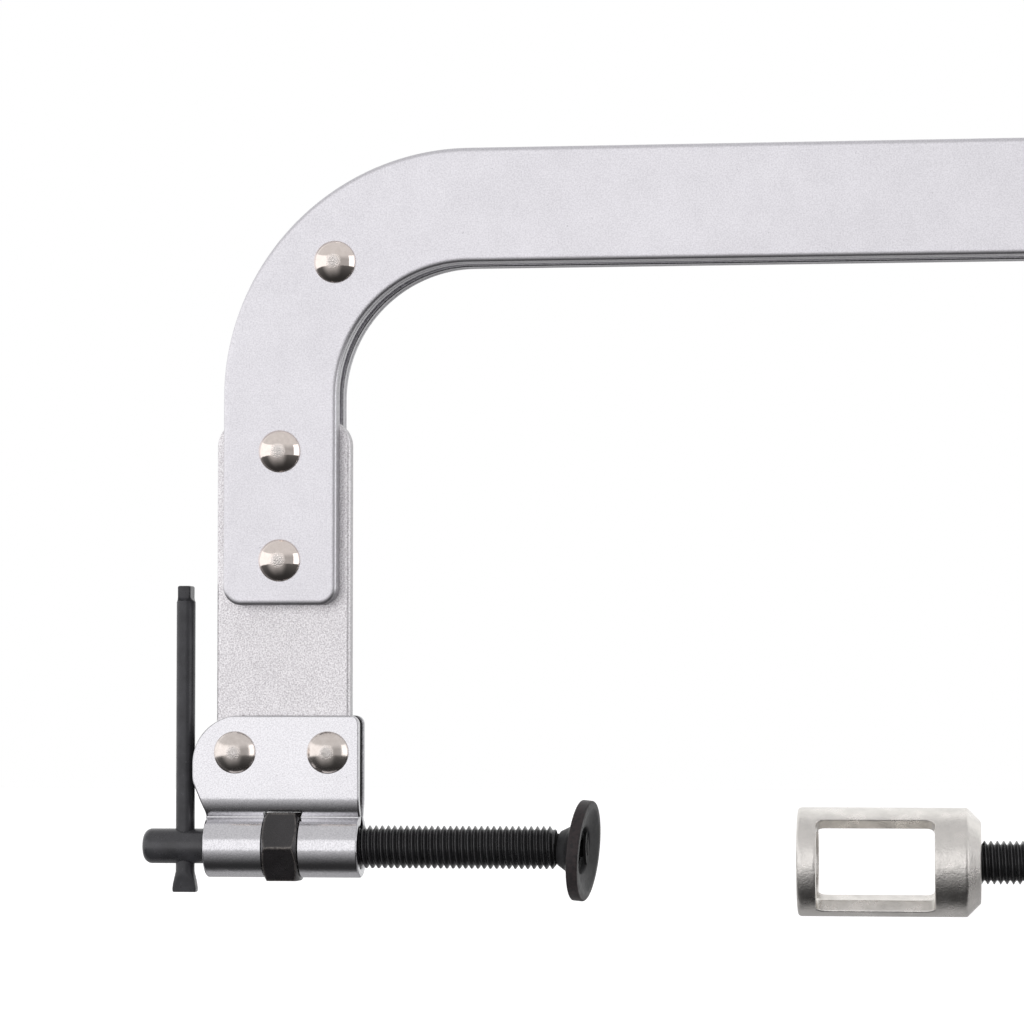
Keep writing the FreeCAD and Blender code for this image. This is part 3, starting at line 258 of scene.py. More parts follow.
plate_zinc = satin_zinc("plate_zinc", (0.828, 0.818, 0.853), (0.57, 0.56, 0.59), 0.30, 0.4, 0.45, 0.012)
bar_zinc = satin_zinc("bar_zinc", (1.0, 0.985, 1.0), (0.60, 0.575, 0.595), 0.34, 0.4, 0.9, 0.07)
STRAP_PALE, STRAP_DARK = (0.83, 0.825, 0.85), (0.57, 0.565, 0.59)
bracket_zinc = satin_zinc("bracket_zinc", STRAP_PALE, STRAP_DARK, 0.13, 0.4, 0.5, 0.012, 0.04)
turned_zinc = satin_zinc("turned_zinc", (0.80, 0.795, 0.82), (0.62, 0.615, 0.635), 0.22, 0.4, 0.3, 0.008)
bright_nickel = polished_nickel("bright_nickel", (0.98, 0.89, 0.83), (0.90, 0.81, 0.75), 0.02)
satin_nickel = polished_nickel("satin_nickel", (0.90, 0.83, 0.78), (0.80, 0.73, 0.68), 0.15)
cage_nickel = cast_nickel("cage_nickel")
PAD_RIM_BROWN = (0.034, 0.026, 0.027)
nut_black = blackened("nut_black", (0.013, 0.0115, 0.0125), 0.26, 0.012, wear_and_shade=0.8, gloss=0.95)
head_black = blackened("head_black", (0.028, 0.028, 0.031), 0.26, 0.010, (0.12, 0.12, 0.12), 0.4, 0.8)
screw_black = blackened("screw_black", (0.015, 0.015, 0.016), 0.20, 0.010, (0.10, 0.10, 0.10), 0.4, 0.7)
bar_black = blackened("bar_black", (0.027, 0.027, 0.030), 0.32, 0.012, (0.10, 0.10, 0.10), 0.4)
pad_black = blackened("pad_black", (0.013, 0.013, 0.0138), 0.45, 0.02, PAD_RIM_BROWN, 0.8, 0.2, 0.0)
# Near-black and almost without gloss: the clips' and rings' own black, and painted shade on the screw's nose
# and the clip deep in the pad's recess.
ring_black = blackened("ring_black", (0.008, 0.008, 0.008), 0.50, 0.01, gloss=0.05, metallic=0.0)
spring_wire = satin_zinc("spring_wire", (0.62, 0.62, 0.63), (0.46, 0.46, 0.47), 0.25, 0.4, 0.3, 0.006)
grip_vinyl = dipped_vinyl("grip_vinyl")


# Mesh helpers


def solid_mesh(name, verts, faces, marks=None):
    """A closed mesh from millimetre points, its faces turned outwards."""
    mesh = bpy.data.meshes.new(name)
    mesh.from_pydata([Vector(v) * MM for v in verts], [], faces)
    if marks:
        mesh.attributes.new("wear_and_shade", "FLOAT", "POINT").data.foreach_set("value", marks)
    work = bmesh.new()
    work.from_mesh(mesh)
    bmesh.ops.remove_doubles(work, verts=work.verts, dist=1e-7)
    bmesh.ops.dissolve_degenerate(work, edges=work.edges, dist=1e-7)
    bmesh.ops.recalc_face_normals(work, faces=work.faces)
    if work.calc_volume(signed=True) < 0:
        bmesh.ops.reverse_faces(work, faces=work.faces)
    work.to_mesh(mesh)
    work.free()
    return mesh


def new_object(name, data):
    thing = bpy.data.objects.new(name, data)
    bpy.context.scene.collection.objects.link(thing)
    return thing


def apply_modifiers(thing):
    """Make the evaluated mesh the object's own."""
    view = bpy.context.evaluated_depsgraph_get()
    made = bpy.data.meshes.new_from_object(thing.evaluated_get(view))
    thing.modifiers.clear()
    thing.data = made


def cut(thing, verts, faces):
    """Cut a closed shape out of an object."""
    cutter = new_object("cutter", solid_mesh("cutter", verts, faces))
    step = thing.modifiers.new("cut", "BOOLEAN")
    step.operation, step.solver, step.object = "DIFFERENCE", "EXACT", cutter
    apply_modifiers(thing)
    bpy.data.objects.remove(cutter)


def add_piece(name, shape, material, body, replaced=(), angle=40.0, cutters=(), voxel=None):
    """Make a piece from (vertices, faces[, marks]) and let it ride on a body.

    Each cutter is a closed shape to cut out. A voxel size gives the piece the soft skin of a casting.
    """
    thing = new_object(name, solid_mesh(name, *shape))
    for cutter in cutters:
        cut(thing, *cutter)
    if voxel:
        skin = thing.modifiers.new("cast skin", "REMESH")
        skin.mode, skin.voxel_size = "VOXEL", voxel * MM
        soft = thing.modifiers.new("soft edges", "SMOOTH")
        soft.factor, soft.iterations = 0.5, 4
        apply_modifiers(thing)
    mesh = thing.data
    mesh.materials.clear()
    mesh.materials.append(material)
    mesh.shade_smooth()
    if not voxel:
        mesh.set_sharp_from_angle(angle=math.radians(angle))
        even = thing.modifiers.new("even shading", "WEIGHTED_NORMAL")
        even.keep_sharp = True
    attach(thing, body)
    if replaced:
        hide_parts(*replaced)
    return thing


def loft(rings):
    """Join closed rings of equal length into a skin and close both ends."""
    count = len(rings[0])
    verts = [point for ring in rings for point in ring]
    faces = [tuple(range(count)), tuple(range(len(verts) - count, len(verts)))]
    for row in range(len(rings) - 1):
        for i in range(count):
            j = (i + 1) % count
            a, b = row * count, (row + 1) * count
            faces.append((a + i, a + j, b + j, b + i))
    return verts, faces


def quarter(steps=5):
    """Angles of a quarter turn."""
    return [math.pi / 2 * k / steps for k in range(steps + 1)]


def rounded_path(corners, closed=True, step=5.0):
    """Points and outward normals along a path whose corners (u, v, radius) are rounded.

    Outward is to the right of the walk, so a closed path runs counter-clockwise.
    """
    made = []
    count = len(corners)
    for index, (u, v, radius) in enumerate(corners):
        here = Vector((u, v))
        before = Vector(corners[index - 1][:2]) - here
        after = Vector(corners[(index + 1) % count][:2]) - here
        if not closed and index in (0, count - 1):
            along = after if index == 0 else -before
            made.append((here, Vector((along.y, -along.x)).normalized()))
            continue
        before.normalize()
        after.normalize()
        half = before.angle(after) / 2
        side = 1 if before.x * after.y - before.y * after.x < 0 else -1
        centre = here + (before + after).normalized() * (radius / math.sin(half))
        start = math.atan2(before.x * side, -before.y * side)
        sweep = math.pi - 2 * half
        steps = max(2, math.ceil(math.degrees(sweep) / step))
        for k in range(steps + 1):
            angle = start + side * sweep * k / steps
            spoke = Vector((math.cos(angle), math.sin(angle)))
            made.append((centre + spoke * radius, spoke * side))
    return made


def slab(corners, near, far, near_roll, far_roll, step=5.0):
    """A plate between two Y planes, its outline drawn in X and Z.

    Each face rolls over into the side by (across, deep, seam_shade). The sides carry the mark as painted
    shade, which on sheared edges also stands for thin plating, and a rolled edge carries painted shade for
    the seam by its share of seam_shade.
    """
    path = rounded_path(corners, step=step)
    rows = []
    for face, way, (across, deep, seam_shade) in ((near, 1, near_roll), (far, -1, far_roll)):
        part = []
        for turn in quarter(7):
            mark = max(SHEARED_SIDE_SHADE * math.sin(turn) ** SHEARED_SIDE_SHADE_FALL, seam_shade * math.sin(2 * turn))
            part.append((face + way * deep * (1 - math.cos(turn)), across * (1 - math.sin(turn)), mark))
        rows += part[::way]
    rings, marks = [], []
    for y, inset, mark in rows:
        rings.append([(p.x - n.x * inset, y, p.y - n.y * inset) for p, n in path])
        marks += [mark] * len(path)
    return (*loft(rings), marks)


def block(low, high):
    """A plain box, used as a cutter."""
    corners = [(low[0], low[2]), (high[0], low[2]), (high[0], high[2]), (low[0], high[2])]
    return loft([[(x, y, z) for x, z in corners] for y in (low[1], high[1])])


def lathe(profile, axis="X", at=(0.0, 0.0, 0.0), steps=96):
    """Turn a profile of (along, radius) about an axis through a point."""
    verts, faces = [], []
    count = len(profile)
    for k in range(steps):
        angle = 2 * math.pi * k / steps
        c, s = math.cos(angle), math.sin(angle)
        for along, radius in profile:
            offset = {
                "X": (along, radius * c, radius * s),
                "Y": (radius * c, along, radius * s),
                "Z": (radius * c, radius * s, along),
            }[axis]
            verts.append(tuple(a + b for a, b in zip(at, offset)))
        a, b = k * count, (k + 1) % steps * count
        faces += [(a + i, a + i + 1, b + i + 1, b + i) for i in range(count - 1)]
    return verts, faces


def turned(corners, step=12.0):
    """A lathe profile with rounded corners, from corners (along, radius, rounding)."""
    return [tuple(point) for point, _ in rounded_path(corners, closed=False, step=step)]


def moved(matrix, shape):
    """The same shape after a move, with whatever marks it carries."""
    verts, *others = shape
    return ([matrix @ Vector(v) for v in verts], *others)


# Frame plates and leg bars

PLATE_WIDTH = 32.0
PLATE_ROLL = (1.5, 0.8, 0.0)
# The third number of a roll is painted shade in the seam between plates.
PLATE_INNER_ROLL = (0.5, 0.4, 1.0)
# Painted shade on the plates' side faces, which on sheared edges also stands for thin plating.
SHEARED_SIDE_SHADE = 0.6
SHEARED_SIDE_SHADE_FALL = 20
PLATE_END_CORNER = 5.0
THROAT_CORNER = 37.0
LEG_BAR_CORNER = 7.6
LEG_BAR_ROLL = (1.2, 1.0, 0.0)


def frame_plates():
    for side, layer in (("front", "outer"), ("front", "inner"), ("rear", "inner"), ("rear", "outer")):
        name = f"frame_plate_{side}_{layer}"
        low, high = limits(name)
        left, right, crown = low.x + PLATE_WIDTH, high.x - PLATE_WIDTH, high.z - PLATE_WIDTH
        outer_corner = THROAT_CORNER + PLATE_WIDTH
        corners = [
            (low.x, low.z, PLATE_END_CORNER),
            (left, low.z, PLATE_END_CORNER),
            (left, crown, THROAT_CORNER),
            (right, crown, THROAT_CORNER),
            (right, low.z, PLATE_END_CORNER),
            (high.x, low.z, PLATE_END_CORNER),
            (high.x, high.z, outer_corner),
            (low.x, high.z, outer_corner),
        ]
        outside = PLATE_ROLL if layer == "outer" else PLATE_INNER_ROLL
        near, far = (outside, PLATE_INNER_ROLL) if side == "front" else (PLATE_INNER_ROLL, outside)
        shape = slab(corners, low.y, high.y, near, far, step=2.0)
        add_piece(f"{name}_dressed", shape, plate_zinc, "frame", [name])


def leg_bars():
    for name in ("anvil_leg_bar", "ram_leg_bar"):
        low, high = limits(name)
        corners = [
            (low.x, low.z, LEG_BAR_ROLL[0]),
            (high.x, low.z, LEG_BAR_ROLL[0]),
            (high.x, high.z, LEG_BAR_CORNER),
            (low.x, high.z, LEG_BAR_CORNER),
        ]
        shape = slab(corners, low.y, high.y, LEG_BAR_ROLL, LEG_BAR_ROLL)
        add_piece(f"{name}_dressed", shape, bar_zinc, "frame", [name])


# Rivets

RIVET_HEAD = 5.9
RIVET_SHANK = 3.25
RIVET_RISE = 3.1
RIVET_EDGE = 0.45
RIVET_SPOT = 2.3
RIVET_DIP = 0.05


def rivet_profile(face):
    """Half of a rivet, from its middle to the top of its dome, as (along, radius, mark)."""
    rise = RIVET_RISE - RIVET_EDGE
    ball = (rise * rise + RIVET_HEAD * RIVET_HEAD) / (2 * rise)
    widest = math.asin(RIVET_HEAD / ball)
    points = [(0.0, RIVET_SHANK, 0.0), (face, RIVET_SHANK, 0.0), (face, RIVET_HEAD - 0.15, 0.0)]
    points += [(face + 0.12, RIVET_HEAD, 0.0), (face + RIVET_EDGE * 0.8, RIVET_HEAD, 0.0)]
    rows = 28
    for k in range(1, rows + 1):
        angle = widest * (1 - k / rows)
        radius = ball * math.sin(angle)
        along = face + RIVET_RISE - ball * (1 - math.cos(angle))
        mark = min(1.0, 1.6 * max(0.0, 1 - radius / RIVET_SPOT))
        points.append((along - RIVET_DIP * mark, radius, mark))
    return points


def rivet_group(name, centres, material):
    """One group of loose rivets as one piece."""
    half = rivet_profile(limits(name)[1].y - RIVET_RISE)
    whole = [(-along, radius, mark) for along, radius, mark in reversed(half)] + half[1:]
    steps = 72
    verts, faces, marks = [], [], []
    for x, z in centres:
        start = len(verts)
        more_verts, more_faces = lathe([point[:2] for point in whole], "Y", (x, 0.0, z), steps)
        verts += more_verts
        faces += [tuple(i + start for i in face) for face in more_faces]
        marks += [point[2] for point in whole] * steps
    add_piece(f"{name}_dressed", (verts, faces, marks), material, "frame", [name], 35.0)


def rivets():
    for side in ("anvil", "ram"):
        low, high = limits(f"{side}_leg_rivets")
        x = (low.x + high.x) / 2
        rivet_group(f"{side}_leg_rivets", [(x, low.z + RIVET_HEAD), (x, high.z - RIVET_HEAD)], bright_nickel)
    for name, material in (
        ("corner_rivets", bright_nickel),
        ("anvil_bracket_rivets", satin_nickel),
        ("ram_bracket_rivets", satin_nickel),
    ):
        low, high = limits(name)
        z = (low.z + high.z) / 2
        rivet_group(name, [(low.x + RIVET_HEAD, z), (high.x - RIVET_HEAD, z)], material)
    centre = middle("stop_rivet")
    rivet_group("stop_rivet", [(centre.x, centre.z)], satin_nickel)


# Folded strap brackets

STRAP = 2.5
STRAP_EDGE = 0.6
SLOT = 5.5
NECK_GAP = 0.8
NECK_BEND = 1.8
SHOULDER_SETBACK = 4.0
STRAP_CORNER = 2.5
# Painted shade marks: on the cut edges, on the inner face inside the fold, and in the crease below the
# shoulder.
INSIDE_SHADE = 1.0
CUT_EDGE_SHADE = 0.55
CREASE_SHADE = 1.0
CREASE_SHADE_REACH = 4.2
FLANGE_TOP_STEPS = (0.0, 0.05, 0.15, 0.3, 0.5, 0.75)


def arc(centre, radius, start, finish, steps):
    """Points along an arc, without its first."""
    angles = [start + (finish - start) * k / steps for k in range(1, steps + 1)]
    return [centre + Vector((math.cos(a), math.sin(a))) * radius for a in angles]


def bearing(vector):
    """Angle of a flat vector, from 0 to a full turn."""
    return math.atan2(vector.y, vector.x) % (2 * math.pi)


def strap_line(loop_radius, axis_z, top):
    """The sheet's middle line in Y and Z, from the front flange's top round the loop to the rear's.

    A long shoulder curves in from each flange and meets the tight neck above the loop.
    """
    ring = loop_radius + STRAP / 2
    flange = SLOT / 2 + STRAP / 2
    neck_y = NECK_GAP + STRAP / 2 + NECK_BEND
    loop = Vector((0.0, axis_z))
    neck = Vector((-neck_y, axis_z + math.sqrt((ring + NECK_BEND) ** 2 - neck_y**2)))
    shoulder = flange + SHOULDER_SETBACK
    rise = math.sqrt((shoulder + NECK_BEND) ** 2 - (neck_y + SHOULDER_SETBACK) ** 2)
    bend = Vector((SHOULDER_SETBACK, neck.y + rise))
    half = [Vector((-flange, top - fall)) for fall in FLANGE_TOP_STEPS]
    start, rows = half[-1].y, 44
    half += [Vector((-flange, start + (bend.y - start) * k / rows)) for k in range(1, rows + 1)]
    half += arc(bend, shoulder, math.pi, bearing(neck - bend), 14)
    half += arc(neck, NECK_BEND, bearing(bend - neck), bearing(loop - neck) - 2 * math.pi, 14)
    half += arc(loop, ring, bearing(neck - loop), 1.5 * math.pi, 32)
    return half + [Vector((-point.x, point.y)) for point in half[-2::-1]]


def sides_at(path, z):
    """Left and right X of a closed outline at a height."""
    hits = []
    for (first, _), (second, _) in zip(path, path[1:] + path[:1]):
        low, high = (first, second) if first.y < second.y else (second, first)
        if low.y <= z <= high.y and high.y > low.y:
            hits.append(low.x + (high.x - low.x) * (z - low.y) / (high.y - low.y))
    return min(hits), max(hits)


def strap(loop_radius, axis_z, outline):
    """Loft a strip with rounded edges along the folded line, as wide as the outline at each height.

    Its mark, painted shade, grows from the outer face over the cut edges to the inner face inside the fold,
    and down the shoulder into the crease.
    """
    path = rounded_path(outline, step=3.0)
    top = max(corner[1] for corner in outline)
    line = strap_line(loop_radius, axis_z, top)
    fold = min((point for point in line if point.y > axis_z + loop_radius), key=lambda point: abs(point.x))
    half = STRAP / 2
    inset = [(STRAP_EDGE * (1 - math.sin(a)), STRAP_EDGE * (1 - math.cos(a))) for a in quarter(4)]
    rings, marks = [], []
    for index, point in enumerate(line):
        along = (line[min(index + 1, len(line) - 1)] - line[max(index - 1, 0)]).normalized()
        outward = Vector((along.y, -along.x))
        depth = min(top - point.y, STRAP_EDGE)
        face = half - STRAP_EDGE + math.sqrt(STRAP_EDGE**2 - (STRAP_EDGE - depth) ** 2)
        left, right = sides_at(path, min(point.y, top - 0.001))
        section = [(right - dx, face - dn) for dx, dn in inset]
        section += [(right - dx, dn - face) for dx, dn in inset[::-1]]
        section += [(left + dx, dn - face) for dx, dn in inset]
        section += [(left + dx, face - dn) for dx, dn in inset[::-1]]
        rings.append([(x, point.x + outward.x * out, point.y + outward.y * out) for x, out in section])
        # Painted shade: darker over the cut edges, on the inner face and in the crease.
        outer_edge = [CUT_EDGE_SHADE * k / 4 for k in range(5)]
        inner_edge = [CUT_EDGE_SHADE + (INSIDE_SHADE - CUT_EDGE_SHADE) * k / 4 for k in range(5)]
        above = (point.y - fold.y) / CREASE_SHADE_REACH
        crease_shade = CREASE_SHADE * (1 - above) if 0 < above < 1 else 0.0
        edges = outer_edge + inner_edge + inner_edge[::-1] + outer_edge[::-1]
        marks += [max(mark, crease_shade) for mark in edges]
    return (*loft(rings), marks)


ANVIL_LOOP_INSET = 3.6
WAIST_HEIGHT = 9.9
WAIST_RADIUS = 4.0
SHOULDER_HEIGHT = 18.2
SHOULDER_RADIUS = 9.0
BULGE_RADIUS = 13.4
NUT_GAP = 0.3


def anvil_bracket():
    low, high = limits("anvil_bracket")
    loop_left = low.x + ANVIL_LOOP_INSET
    outline = [
        (loop_left, low.z - 1, 0.01),
        (high.x, low.z - 1, 0.01),
        (high.x, high.z, STRAP_CORNER),
        (low.x, high.z, BULGE_RADIUS),
        (low.x, SHOULDER_HEIGHT, SHOULDER_RADIUS),
        (loop_left, WAIST_HEIGHT, WAIST_RADIUS),
    ]
    nut_low, nut_high = limits("screw_nut")
    window = block(
        (nut_low.x - NUT_GAP, low.y - 5, low.z - 1),
        (nut_high.x + NUT_GAP, high.y + 5, nut_high.z + NUT_GAP),
    )
    add_piece(
        "anvil_bracket_dressed",
        strap(-low.z - STRAP, 0.0, outline),
        bracket_zinc,
        "frame",
        ["anvil_bracket"],
        cutters=[window],
    )


def ram_bracket():
    low, high = limits("ram_bracket")
    axis_z = middle("guide_barrel").z
    outline = [
        (low.x, low.z - 1, 0.01),
        (high.x, low.z - 1, 0.01),
        (high.x, high.z, STRAP_CORNER),
        (low.x, high.z, STRAP_CORNER),
    ]
    shape = strap(axis_z - low.z - STRAP, axis_z, outline)
    add_piece("ram_bracket_dressed", shape, bracket_zinc, "frame", ["ram_bracket"])


# Clamp screw, nut, sliding bar and pad

PITCH = 1.75
THREAD_DEPTH = 1.05
THREAD_BEVEL_SLOPE = 1.2
SCREW_RADIUS = 6.0
HEAD_RADIUS = 4.9
HEAD_LENGTH = 17.9
HEAD_ROUNDING = 2.4
BAR_HOLE = 2.74
NOSE_BALL = 4.0
NOSE_RADIUS = 2.5
NOSE_SUNK = 0.3
THREAD_SHAPE = (
    (0.0, 0.0),
    (0.06, 0.0),
    (0.14, 0.08),
    (0.46, 0.94),
    (0.52, 1.0),
    (0.60, 1.0),
    (0.66, 0.94),
    (0.97, 0.08),
)


def thread(start, finish, at_z, bevel):
    """A right-hand thread along X, as rows that follow the helix, with bevelled ends.

    THREAD_SHAPE gives one pitch as (share of the pitch, share of the depth). The crests are marked.
    """
    steps = 72
    rows = (math.ceil((finish - start) / PITCH) + 2) * len(THREAD_SHAPE)
    verts, faces, marks = [], [], []
    for row in range(rows):
        turn, spot = divmod(row, len(THREAD_SHAPE))
        share, depth = THREAD_SHAPE[spot]
        for k in range(steps + 1):
            angle = 2 * math.pi * k / steps
            x = start + PITCH * (turn - 1.5 + share + k / steps)
            x = min(max(x, start), finish)
            reach = SCREW_RADIUS - THREAD_DEPTH * depth
            reach = min(reach, SCREW_RADIUS - bevel + min(x - start, finish - x) * THREAD_BEVEL_SLOPE)
            verts.append((x, reach * math.cos(angle), at_z + reach * math.sin(angle)))
            marks.append(1.0 if depth == 0.0 else 0.0)
    for row in range(rows - 1):
        for k in range(steps):
            a = row * (steps + 1) + k
            b = a + steps + 1
            faces.append((a, a + 1, b + 1, b))
    return verts, faces, marks


def anvil_screw():
    low, high = limits("anvil_screw")
    shoulder = low.x + HEAD_LENGTH
    pivot = joints["pad_tilt"]["pos_m"][0] / MM
    head = [
        (low.x, 0.0, 0),
        (low.x, HEAD_RADIUS, HEAD_ROUNDING),
        (shoulder, HEAD_RADIUS, 0.01),
        (shoulder, 0.0, 0),
    ]
    bar_x = middle("tommy_bar").x
    hole = lathe([(-9.0, 0.0), (-9.0, BAR_HOLE), (9.0, BAR_HOLE), (9.0, 0.0)], "Z", (bar_x, 0.0, 0.0), 48)
    add_piece(
        "anvil_screw_head",
        lathe(turned(head, step=9.0)),
        head_black,
        "screw",
        ["anvil_screw"],
        cutters=[hole],
    )
    shank = thread(shoulder - 0.4, pivot + 0.2, 0.0, 1.1)
    add_piece("anvil_screw_thread", shank, screw_black, "screw", angle=50.0)
    waist = math.acos(NOSE_RADIUS / NOSE_BALL)
    angles = [waist * k / 9 for k in range(10)]
    ball = [(pivot + NOSE_BALL * math.sin(a), NOSE_BALL * math.cos(a)) for a in angles]
    tip = high.x - NOSE_SUNK
    nose = [(pivot, 0.0), *ball, (tip - 0.5, NOSE_RADIUS), (tip, NOSE_RADIUS - 0.5), (tip, 0.0)]
    # The nose takes the near-black ring finish as painted shade in the pad's recess.
    add_piece("anvil_screw_nose", lathe(nose), ring_black, "screw")


NUT_FACE = 0.96
NUT_RIDGE = 0.5
NUT_BEVEL = 30.0
CORNER_OFFSETS = (0.0, 0.7, 1.5, 2.6, 5.0, 9.0, 15.0, 22.0)


def nut():
    """A hexagon with one corner to the front, its corners cut back by a cone at both ends.

    CORNER_OFFSETS are the angles in degrees from a corner at which its outline has points.
    """
    low, high = limits("screw_nut")
    centre = middle("screw_nut")
    flat, half = (high.z - low.z) / 2, (high.x - low.x) / 2
    bore = SCREW_RADIUS + 0.05
    face_radius = flat * NUT_FACE
    sector = (*CORNER_OFFSETS, 30.0, *(60 - offset for offset in CORNER_OFFSETS[:0:-1]))
    angles = [60 * corner + offset for corner in range(6) for offset in sector]
    verts, faces, marks = [], [], []
    for degrees in angles:
        from_corner = abs((degrees + 30) % 60 - 30)
        radius = flat / math.cos(math.radians(30 - from_corner))
        ridge = max(0.0, 1 - radius * math.radians(from_corner) / NUT_RIDGE)
        radius -= 0.10 * ridge * ridge
        rise = radius - face_radius
        depth = rise * math.tan(math.radians(NUT_BEVEL))
        end = [
            (half, face_radius - 0.3, 0.0),
            (half - 0.05, face_radius - 0.05, 0.2),
            (half - depth * 0.5, face_radius + rise * 0.5, 0.0),
            (half - depth * 0.9, face_radius + rise * 0.9, 0.0),
            (half - depth - 0.12, radius, 0.6),
            (half - depth - 0.5, radius, ridge),
        ]
        ring = [(-half + 0.9, bore, 0.0), (-half, bore + 0.9, 0.2)]
        ring += [(-x, r, mark) for x, r, mark in end]
        ring += [(0.0, radius, ridge), *end[::-1], (half, bore + 0.9, 0.2), (half - 0.9, bore, 0.0)]
        c, s = math.cos(math.radians(degrees)), math.sin(math.radians(degrees))
        verts += [(centre.x + x, -r * c, r * s) for x, r, mark in ring]
        marks += [mark for x, r, mark in ring]
    count = len(ring)
    for k in range(len(angles)):
        a, b = k * count, (k + 1) % len(angles) * count
        faces += [(a + i, a + (i + 1) % count, b + (i + 1) % count, b + i) for i in range(count)]
    shape = verts, faces, marks
    add_piece("screw_nut_dressed", shape, nut_black, "frame", ["screw_nut"], 25.0)


BAR_WIDTH = 5.3


def soft_rectangle(x, z, width, depth, squareness, steps=64):
    """A level ring that goes from an ellipse to nearly a rectangle as squareness goes from 0 to 1."""
    power = 1 / (1 + 5 * squareness)
    ring = []
    for k in range(steps):
        angle = 2 * math.pi * (k + 0.5) / steps
        c, s = math.cos(angle), math.sin(angle)
        across = math.copysign(abs(c) ** power, c) * width / 2
        ring.append((x + across, math.copysign(abs(s) ** power, s) * depth / 2, z))
    return ring


def tommy_bar():
    """The sliding bar: a fishtail at the foot, and a shoulder and a narrow stub at the top.

    Each station is (height, width, depth, squareness).
    """
    low, high = limits("tommy_bar")
    x = middle("tommy_bar").x
    stations = (
        (low.z, 6.3, 2.8, 0.9),
        (low.z + 0.2, 6.7, 3.2, 1.0),
        (low.z + 1.0, 6.8, 3.4, 1.0),
        (low.z + 2.4, 6.4, 3.8, 0.7),
        (low.z + 4.2, 5.7, 4.6, 0.25),
        (low.z + 5.8, BAR_WIDTH, BAR_WIDTH, 0.0),
        (high.z - 4.5, BAR_WIDTH, BAR_WIDTH, 0.0),
        (high.z - 4.2, BAR_WIDTH - 0.3, BAR_WIDTH, 0.0),
        (high.z - 3.8, 4.2, 5.7, 0.3),
        (high.z - 3.2, 3.7, 6.1, 0.8),
        (high.z - 0.6, 3.7, 6.2, 0.9),
        (high.z - 0.2, 3.6, 6.0, 0.9),
        (high.z, 3.1, 5.4, 0.9),
    )
    rings = [soft_rectangle(x, *station) for station in stations]
    add_piece("tommy_bar_dressed", loft(rings), bar_black, "tommy", ["tommy_bar"], 30.0)


PAD_TURN = 7.0
PAD_LEAN = 5.3
PAD_RIM = 14.0
PAD_FACE = 9.6
PAD_BACK = 4.2
PAD_HUB = 1.3


def swivel_pad():
    """The dished disc with its hub, drawn about the centre of the screw's ball and leaned on it."""
    corners = [
        (PAD_HUB, 4.15, 0),
        (PAD_HUB, 4.8, 0.3),
        (PAD_BACK, 6.5, 2.0),
        (PAD_FACE - 3.2, PAD_RIM - 1.0, 0.01),
        (PAD_FACE - 3.2, PAD_RIM, 0.4),
        (PAD_FACE, PAD_RIM, 0.5),
        (PAD_FACE, PAD_RIM - 2.0, 1.5),
        (PAD_FACE - 1.5, 6.6, 0.8),
        (PAD_FACE - 3.0, 6.0, 0.4),
        (PAD_FACE - 3.0, 4.15, 0.2),
        (PAD_HUB, 4.15, 0),
    ]
    verts, faces = lathe(turned(corners, step=15.0), steps=128)
    marks = []
    for along, across, up in verts:
        marks.append(1.0 if math.hypot(across, up) > PAD_RIM - 0.9 else 0.0)
    pivot = joints["pad_tilt"]["pos_m"][0] / MM
    lean = Matrix.Rotation(math.radians(-PAD_TURN), 4, "Z") @ Matrix.Rotation(math.radians(PAD_LEAN), 4, "Y")
    shape = moved(Matrix.Translation((pivot, 0.0, 0.0)) @ lean, (verts, faces, marks))
    add_piece("anvil_pad_dressed", shape, pad_black, "pad", ["anvil_pad"], 35.0)


# Retainer cage

CAGE_RADIUS = 15.0
CAGE_BORE = 11.0
CAGE_ROLL = 4.5
CAGE_RING = 5.3
CAGE_INSIDE = 37.6
CAGE_BEVEL = 3.8
CAGE_HOLE = 6.05
CAGE_SPREAD = math.radians(57.0)
CAGE_WALL_SLOPE = math.radians(44.0)
CAGE_WINDOW_CORNER = 2.5
CAGE_VOXEL = 0.3


def retainer_cage():
    """A cup with a wide window through each side, given the soft skin of a casting."""
    low, high = limits("retainer_cage")
    length = high.x - low.x
    corners = [
        (0.6, CAGE_BORE, 0),
        (0.0, CAGE_BORE + 0.6, 0.3),
        (0.0, CAGE_RADIUS, 1.0),
        (length - CAGE_BEVEL, CAGE_RADIUS, 0.7),
        (length, CAGE_RADIUS - CAGE_BEVEL, 0.6),
        (length, CAGE_HOLE, 0.3),
        (CAGE_INSIDE, CAGE_HOLE, 0.01),
        (CAGE_INSIDE, CAGE_BORE, 0.8),
        (0.6, CAGE_BORE, 0),
    ]
    axis = Vector((low.x, 0.0, middle("ram_rod").z))
    place = Matrix.Translation(axis) @ Matrix.Rotation(math.radians(CAGE_ROLL), 4, "X")
    windows = []
    for side in (-1, 1):
        rings = []
        for distance in (2.0, 22.0):
            outside = CAGE_RADIUS * math.cos(CAGE_SPREAD)
            half = CAGE_RADIUS * math.sin(CAGE_SPREAD) + (distance - outside) * math.tan(CAGE_WALL_SLOPE)
            window = [(CAGE_RING, -half), (CAGE_INSIDE, -half), (CAGE_INSIDE, half), (CAGE_RING, half)]
            path = rounded_path([(u, v, CAGE_WINDOW_CORNER) for u, v in window], step=10.0)
            rings.append([(point.x, side * distance, point.y) for point, _ in path])
        windows.append(moved(place, loft(rings)))
    add_piece(
        "retainer_cage_dressed",
        moved(place, lathe(turned(corners, step=18.0), steps=128)),
        cage_nickel,
        "ram",
        ["retainer_cage"],
        cutters=windows,
        voxel=CAGE_VOXEL,
    )


# Ram side

RAM_THREAD = 38.0
RAM_GROOVE = 0.8


